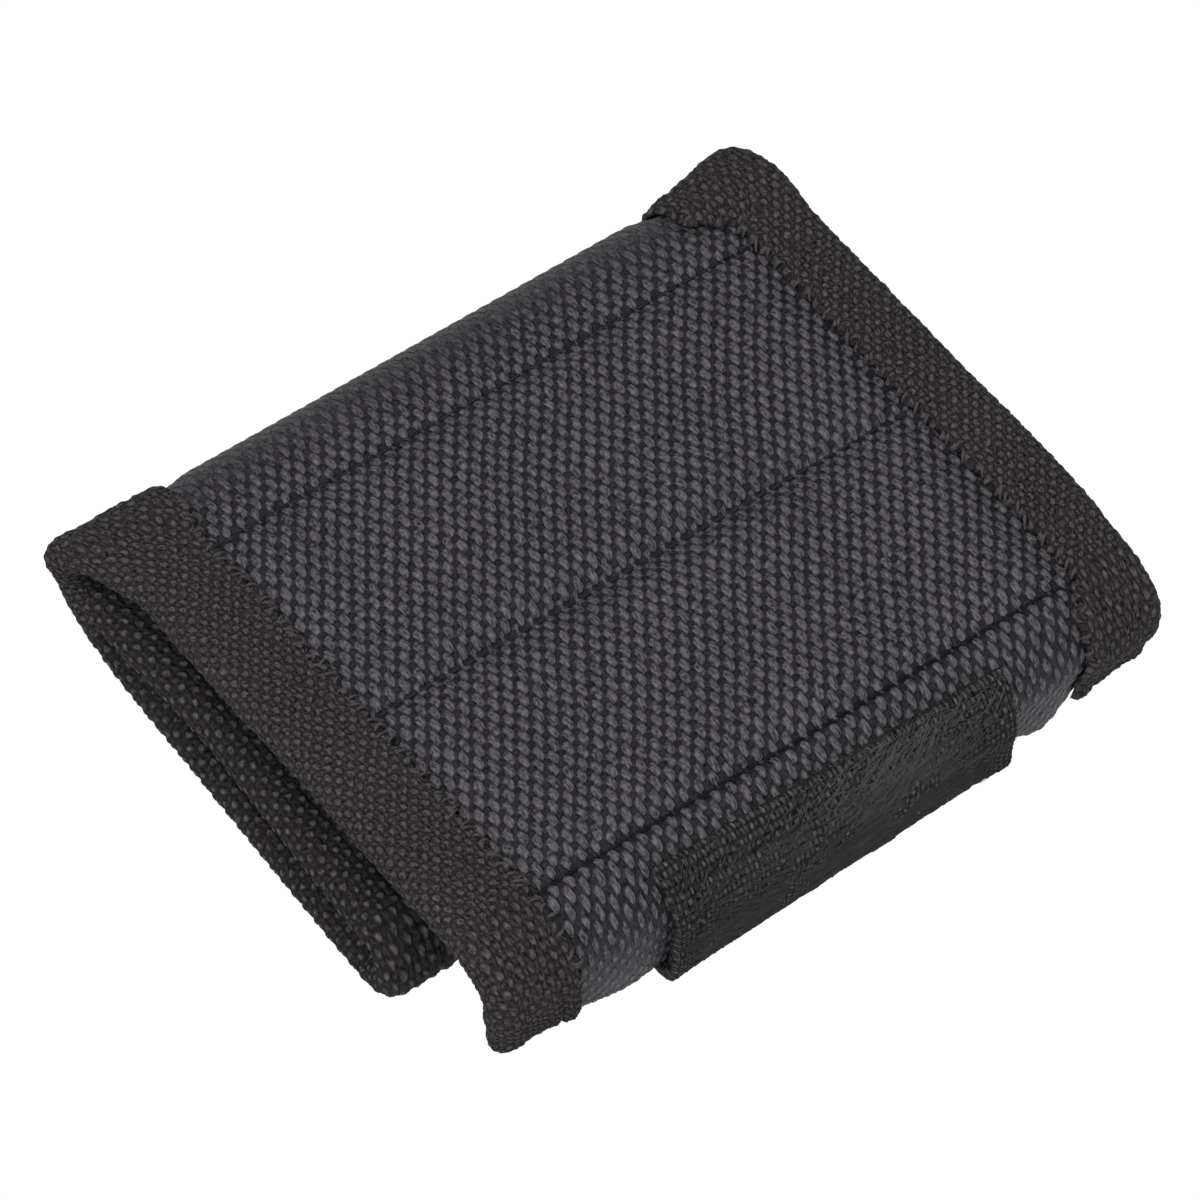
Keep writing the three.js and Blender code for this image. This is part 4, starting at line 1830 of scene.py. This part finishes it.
@dataclass
class ClosingTab:
    """Webbing tab with a brushed loop pile, sewn inside the flap and turned up over its end."""

    finish: Weave = WEBBING
    half: float = SIZES.tab_width / 2
    outside: float = SIZES.tab_foot + SIZES.tab_cloth
    spacing: float = 0.2
    step: int = 4
    hidden_spacing: float = 0.5
    hidden_step: int = 2
    left_border: float = 3.2
    right_border: float = 4.5
    top_border: float = 2.3
    border_fade: float = 0.8
    edge_round: float = 0.55
    seam_half: float = 0.5
    seam_depth: float = 0.45
    pile_rise: float = 0.15
    pile_share: float = 0.85
    pile_patches: float = 0.9
    patch_size: float = 5.0
    lump: float = 0.4
    lump_size: tuple[float, float] = (1.9, 3.4)
    nap: float = 0.16
    nap_size: float = 0.9
    stray: float = 0.3
    fuzz: float = 0.15
    ply_inset: float = 0.3
    ply_gap: float = 0.05
    fibres: int = 5000
    fibre_radius: float = 0.035
    fibre_length: tuple[float, float] = (1.8, 4.0)
    loose: int = 420
    loose_radius: float = 0.03
    loose_length: tuple[float, float] = (2.0, 4.5)
    arch: float = 0.07
    fibre_sunk: float = 0.02
    webbing: bpy.types.Material = field(init=False)

    def __post_init__(self) -> None:
        """Make the webbing's material."""
        self.webbing = self.finish.material()

    def inside_borders(self, s: np.ndarray, x: np.ndarray) -> tuple[np.ndarray, np.ndarray, np.ndarray]:
        """Distances inwards from the seams beside the left, the right and the top border."""
        left = x + self.half - self.left_border
        return left, self.half - self.right_border - x, s - PATH.tab_from - self.top_border

    def edge(self, s: np.ndarray, x: np.ndarray) -> np.ndarray:
        """Distance from the tab's sides and its upper edge."""
        return np.minimum(self.half - np.abs(x), s - PATH.tab_from)

    def relief(self, s: np.ndarray, x: np.ndarray, places: Places) -> np.ndarray:
        """Height of the tab's face over its full form: rounded edges, border seam and pile.

        Args:
            s: Places along the band.
            x: Places across it.
            places: Places on the webbing.

        Returns:
            Heights in millimetres.
        """
        piled = self.piled(s, x)
        lumps = self.lump * SLOW_CRUMPLE.at(s / self.lump_size[0], x / self.lump_size[1])
        lumps = lumps + self.nap * FINE_CRUMPLE.at(s / self.nap_size, x / self.nap_size)
        seam = np.max([groove(inside, self.seam_half) for inside in self.inside_borders(s, x)], 0)
        weave = self.finish.height(*places) * (1 - 0.7 * piled)
        sunk = rounding(self.edge(s, x), self.edge_round)
        return weave - sunk - self.seam_depth * seam * (1 - 0.5 * piled) + (lumps + self.pile_rise) * piled

    def piled(self, s: np.ndarray, x: np.ndarray) -> np.ndarray:
        """Share of the brushed pile at places on the tab.

        Args:
            s: Places along the band.
            x: Places across it.

        Returns:
            Shares from 0, on the woven borders, to 1.
        """
        left, right, top = (np.clip(d / self.border_fade, 0, 1) for d in self.inside_borders(s, x))
        patches = SLOW_CRUMPLE.at(s / self.patch_size + 7, x / self.patch_size + 3)
        return left * right * top * np.clip(self.pile_share + self.pile_patches * patches, 0, 1)

    def strip(self) -> None:
        """Make the tab's pile ply and its webbing ply."""
        s, x = band_grid(PATH.tab_from, PATH.length, self.half, self.spacing, self.step)
        places = yarn_places(x, s, self.stray, self.fuzz)
        between = SIZES.tab_foot + SIZES.tab_ply + SIZES.clearance / 2
        outside = self.outside + self.relief(s, x, places)
        sheet = Sheet.on_band(s, x, outside, between, self.step, places)
        pile = sheet.piece("tab_pile_ply", self.webbing)
        settle(pile, "tab_pile", Body.TAB)
        s, x = thinned(self.step, s, x)
        narrow = x * (1 - self.ply_inset / self.half)
        outside = between - self.ply_gap - 0.4 * rounding(self.edge(s, x), 0.5)
        sheet = Sheet.on_band(s, narrow, outside, SIZES.tab_foot, self.hidden_step, (x, s))
        webbing = sheet.piece("tab_webbing_ply", self.webbing)
        settle(webbing, "tab_webbing", Body.TAB)

    def fold(self) -> None:
        """Make the tab's turn round the flap's end."""
        end = PATH.length
        foot = SIZES.tab_foot
        angles = spaced(0, math.pi, self.spacing / self.outside, self.step)
        angle, x = crossed(angles, spaced(-self.half, self.half, self.spacing, self.step))
        places = yarn_places(x, end + angle * self.outside, self.stray, self.fuzz)
        outside = self.outside + self.finish.height(*places)
        outside = outside - rounding(self.half - np.abs(x), self.edge_round)
        sheet = Sheet.round_end(end, angle, x, outside, foot, self.step, places)
        piece = sheet.piece("tab_fold_webbing", self.webbing)
        start = PATH.point(end, 0, -foot)
        PATH.point(end, 0, foot)
        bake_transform(piece)
        settle(piece, "tab_fold")

    def root(self) -> None:
        """Make the tab's root inside the flap."""
        low = PATH.length - SIZES.tab_root
        s, x = band_grid(low, PATH.length, self.half, self.hidden_spacing, self.hidden_step)
        sheet = Sheet.on_band(s, x, -self.outside, -SIZES.tab_foot, self.hidden_step, flip=True)
        settle(sheet.piece("tab_root_webbing", self.webbing), "tab_root", Body.FLAP)

    def pile(self) -> None:
        """Make the brushed fibres of the pile, and the loose ones at the tab's upper edge."""
        dice = np.random.default_rng(21)
        s = dice.uniform(PATH.tab_from + 1.2, PATH.length - 0.3, self.fibres)
        x = dice.uniform(-self.half + 1.5, self.half - 2.5, self.fibres)
        kept = dice.uniform(0, 1, self.fibres) < self.piled(s, x) + 0.08
        s = s[kept]
        x = x[kept]
        swirl = -0.25 + 0.6 * SLOW_CRUMPLE.at(s / 5, x / 7 + 30) + dice.normal(0, 0.12, len(s))
        length = dice.uniform(*self.fibre_length, len(s))
        self._lay("tab_pile_fibres", s, x, swirl, length, self.fibre_radius, PILE_FIBRE)
        s = PATH.tab_from + 0.3 + np.abs(dice.normal(0, 3.5, self.loose))
        x = dice.normal(6.0, 7.0, self.loose)
        swirl = dice.normal(-0.25, 0.25, self.loose)
        length = dice.uniform(*self.loose_length, self.loose)
        self._lay("tab_loose_fibres", s, x, swirl, length, self.loose_radius, LOOSE_FIBRE)

    def _lay(
        self,
        name: str,
        s: np.ndarray,
        x: np.ndarray,
        angle: np.ndarray,
        length: np.ndarray,
        radius: float,
        finish: Solid,
    ) -> None:
        """Lay arched fibres on the tab's face.

        Args:
            name: Name of the piece.
            s: Places of the fibres' middles along the band.
            x: Places across it.
            angle: Directions from across the band.
            length: Lengths of the fibres.
            radius: Radius of a fibre.
            finish: The fibres' finish.
        """
        along = np.linspace(-0.5, 0.5, 5)
        run = length[:, None] * along
        low = PATH.tab_from + 0.1
        place_s = np.clip(s[:, None] + run * np.sin(angle)[:, None], low, PATH.length)
        place_x = np.clip(x[:, None] + run * np.cos(angle)[:, None], -self.half, self.half)
        hump = np.cos(along * math.pi) * self.arch * length[:, None]
        runs = PATH.points(place_s, place_x, self.outside - self.fibre_sunk + hump)
        settle(thread_piece(name, runs, radius, 3, finish.material()), body=Body.TAB)

    def build(self) -> None:
        """Make the whole tab."""
        self.strip()
        self.fold()
        self.root()
        self.pile()


@dataclass
class Padding:
    """Foam pads and disc magnets inside the pockets."""

    inset: float = 2.0
    rise: float = 4.5
    spacing: tuple[float, float] = (0.8, 1.2)
    step: int = 2

    def bent_pad(self, stretch: Stretch, material: bpy.types.Material) -> None:
        """Make the foam of a bending stretch, which bends with the cloth round it.

        Args:
            stretch: The stretch.
            material: The foam's material.
        """
        pocket = stretch.pockets[0]
        low = max(stretch.low, pocket.low + self.inset)
        high = min(stretch.high, pocket.high - self.inset)
        edge = SIZES.bound_from - self.inset
        rows = spaced(low, high, self.spacing[0], self.step)
        s, x = crossed(rows, spaced(-edge, edge, self.spacing[1], self.step))
        full = stretch.fullness(s, x, self.rise, self.rise, np.full_like(x, SIZES.bound_from))
        off = SIZES.seam_gap + SIZES.lift * full - SIZES.clearance
        piece = Sheet.on_band(s, x, off, -off, self.step).piece(f"{stretch.name}_foam", material)
        stretch.attach(piece, (-SIZES.foam / 2, SIZES.foam / 2))
        settle(piece, f"{stretch.owner}_foam")

    def build(self) -> None:
        """Make the spine's foam, and dress the frame's foam pads and magnets."""
        foam = PADDING_FOAM.material()
        for stretch in band_stretches():
            if stretch.owner == Body.SPINE.value:
                self.bent_pad(stretch, foam)
        nickel = NICKEL_PLATE.material()
        for name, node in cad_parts.items():
            material = foam if "foam" in name else nickel if "magnet" in name else None
            if material is not None:
                node.data.materials.clear()
                node.data.materials.append(material)
                LOG.info("%s: dressed", name)


@dataclass(frozen=True)
class Camera:
    """Camera at the photograph's viewing angle, found from the band's edges and seams."""

    azimuth: float = -37.77
    elevation: float = 55.56
    roll: float = 2.69
    distance: float = 1.0721
    focal_px: float = 9896.0
    frame_px: float = 1200.0
    sensor_mm: float = 36.0
    clip_end: float = 10.0
    target: tuple[float, float, float] = (0.00065, -0.00235, 0.010)
    target_px: tuple[float, float] = (632.4, 613.7)

    def build(self) -> None:
        """Make the camera and let the scene look through it."""
        a, e, r = (math.radians(v) for v in (self.azimuth, self.elevation, self.roll))
        back = Vector((math.sin(a) * math.cos(e), -math.cos(a) * math.cos(e), math.sin(e)))
        right = Vector((math.cos(a), math.sin(a), 0))
        up = back.cross(right)
        right, up = right * math.cos(r) + up * math.sin(r), up * math.cos(r) - right * math.sin(r)
        data = bpy.data.cameras.new("camera")
        data.sensor_width = self.sensor_mm
        data.lens = self.focal_px * self.sensor_mm / self.frame_px
        data.clip_end = self.clip_end
        camera = bpy.data.objects.new("camera", data)
        bpy.context.scene.collection.objects.link(camera)
        pixel = self.distance / self.focal_px
        middle = self.frame_px / 2
        aim = Vector(self.target)
        aim -= right * (self.target_px[0] - middle) * pixel
        aim += up * (self.target_px[1] - middle) * pixel
        turn = Matrix((right, up, back)).transposed().to_4x4()
        camera.matrix_world = Matrix.Translation(aim + back * self.distance) @ turn
        bpy.context.scene.camera = camera


@dataclass(frozen=True)
class Lamp:
    """Soft round lamp that faces the object."""

    name: str
    place: tuple[float, float, float]
    watts: float
    diameter: float = 0.8

    def build(self) -> None:
        """Make the lamp."""
        data = bpy.data.lights.new(self.name, "AREA")
        data.shape = "DISK"
        data.size = self.diameter
        data.energy = self.watts
        lamp = bpy.data.objects.new(self.name, data)
        bpy.context.scene.collection.objects.link(lamp)
        lamp.location = self.place
        lamp.rotation_euler = (-Vector(self.place)).to_track_quat("-Z", "Y").to_euler()


@dataclass(frozen=True)
class Studio:
    """Pale floor and soft light."""

    floor_half: float = 3.0
    floor_colour: Colour = (0.8, 0.8, 0.8, 1)
    floor_roughness: float = 0.9
    key: Lamp = Lamp("key_light", (-0.2, -0.25, 1.0), 5.6)
    fill: Lamp = Lamp("fill_light", (-0.75, -0.25, 0.75), 2.4)
    world: float = 0.36

    def build(self) -> None:
        """Make the floor, the lamps and the world."""
        scene = bpy.context.scene
        scene.view_settings.view_transform = "Standard"
        corners = [(x, y, 0.0) for x, y in ((-1, -1), (1, -1), (1, 1), (-1, 1))]
        points = np.array(corners) * self.floor_half
        mesh_piece("floor", points, [(0, 1, 2, 3)], self.floor_finish())
        for lamp in (self.key, self.fill):
            lamp.build()
        world = bpy.data.worlds.new("studio")
        world.use_nodes = True
        scene.world = world
        shade = world.node_tree.nodes["Background"]
        shade.inputs["Color"].default_value = (1, 1, 1, 1)
        shade.inputs["Strength"].default_value = self.world

    def floor_finish(self) -> bpy.types.Material:
        """White floor that shows as paper white to the camera and in reflections.

        Returns:
            The floor's material.
        """
        material = bpy.data.materials.new("paper_floor")
        material.use_nodes = True
        tree = material.node_tree
        shader = tree.nodes["Principled BSDF"]
        shader.inputs["Base Color"].default_value = self.floor_colour
        shader.inputs["Roughness"].default_value = self.floor_roughness
        glow = tree.nodes.new("ShaderNodeEmission")
        seen = tree.nodes.new("ShaderNodeLightPath")
        mix = tree.nodes.new("ShaderNodeMixShader")
        rays = seen.outputs["Is Camera Ray"]
        for kind in ("Is Glossy Ray", "Is Transmission Ray"):
            either = tree.nodes.new("ShaderNodeMath")
            either.operation = "MAXIMUM"
            tree.links.new(rays, either.inputs[0])
            tree.links.new(seen.outputs[kind], either.inputs[1])
            rays = either.outputs[0]
        tree.links.new(rays, mix.inputs[0])
        tree.links.new(shader.outputs[0], mix.inputs[1])
        tree.links.new(glow.outputs[0], mix.inputs[2])
        tree.links.new(mix.outputs[0], tree.nodes["Material Output"].inputs[0])
        return material


def main() -> None:
    """Build the stage and every sub-assembly in order."""
    logging.basicConfig(level=logging.INFO, format="%(name)s: %(message)s")
    Camera().build()
    Studio().build()
    cover = Cover()
    lining = Lining()
    stitching = Stitching(cover)
    tapes = {finish.name: finish.material() for finish in (TAPE, SHADED_TAPE)}
    bindings = [Binding(side, tapes) for side in Side]
    for stretch in band_stretches():
        cover.build(stretch)
        lining.build(stretch)
        for binding in bindings:
            binding.build(stretch)
            stitching.binding_seam(stretch, binding)
            stitching.selvedge_loops(stretch, binding)
        if len(stretch.bodies) == 1 and stretch.lines:
            stitching.pocket_seams(stretch)
    EndHem(0.0, "inner_end_hem", Body.INNER_TURN).build(cover)
    EndHem(PATH.length, "flap_end_hem", Body.FLAP).build(cover)
    HookPatch().build()
    ClosingTab().build()
    Padding().build()


if __name__ == "__main__":
    main()
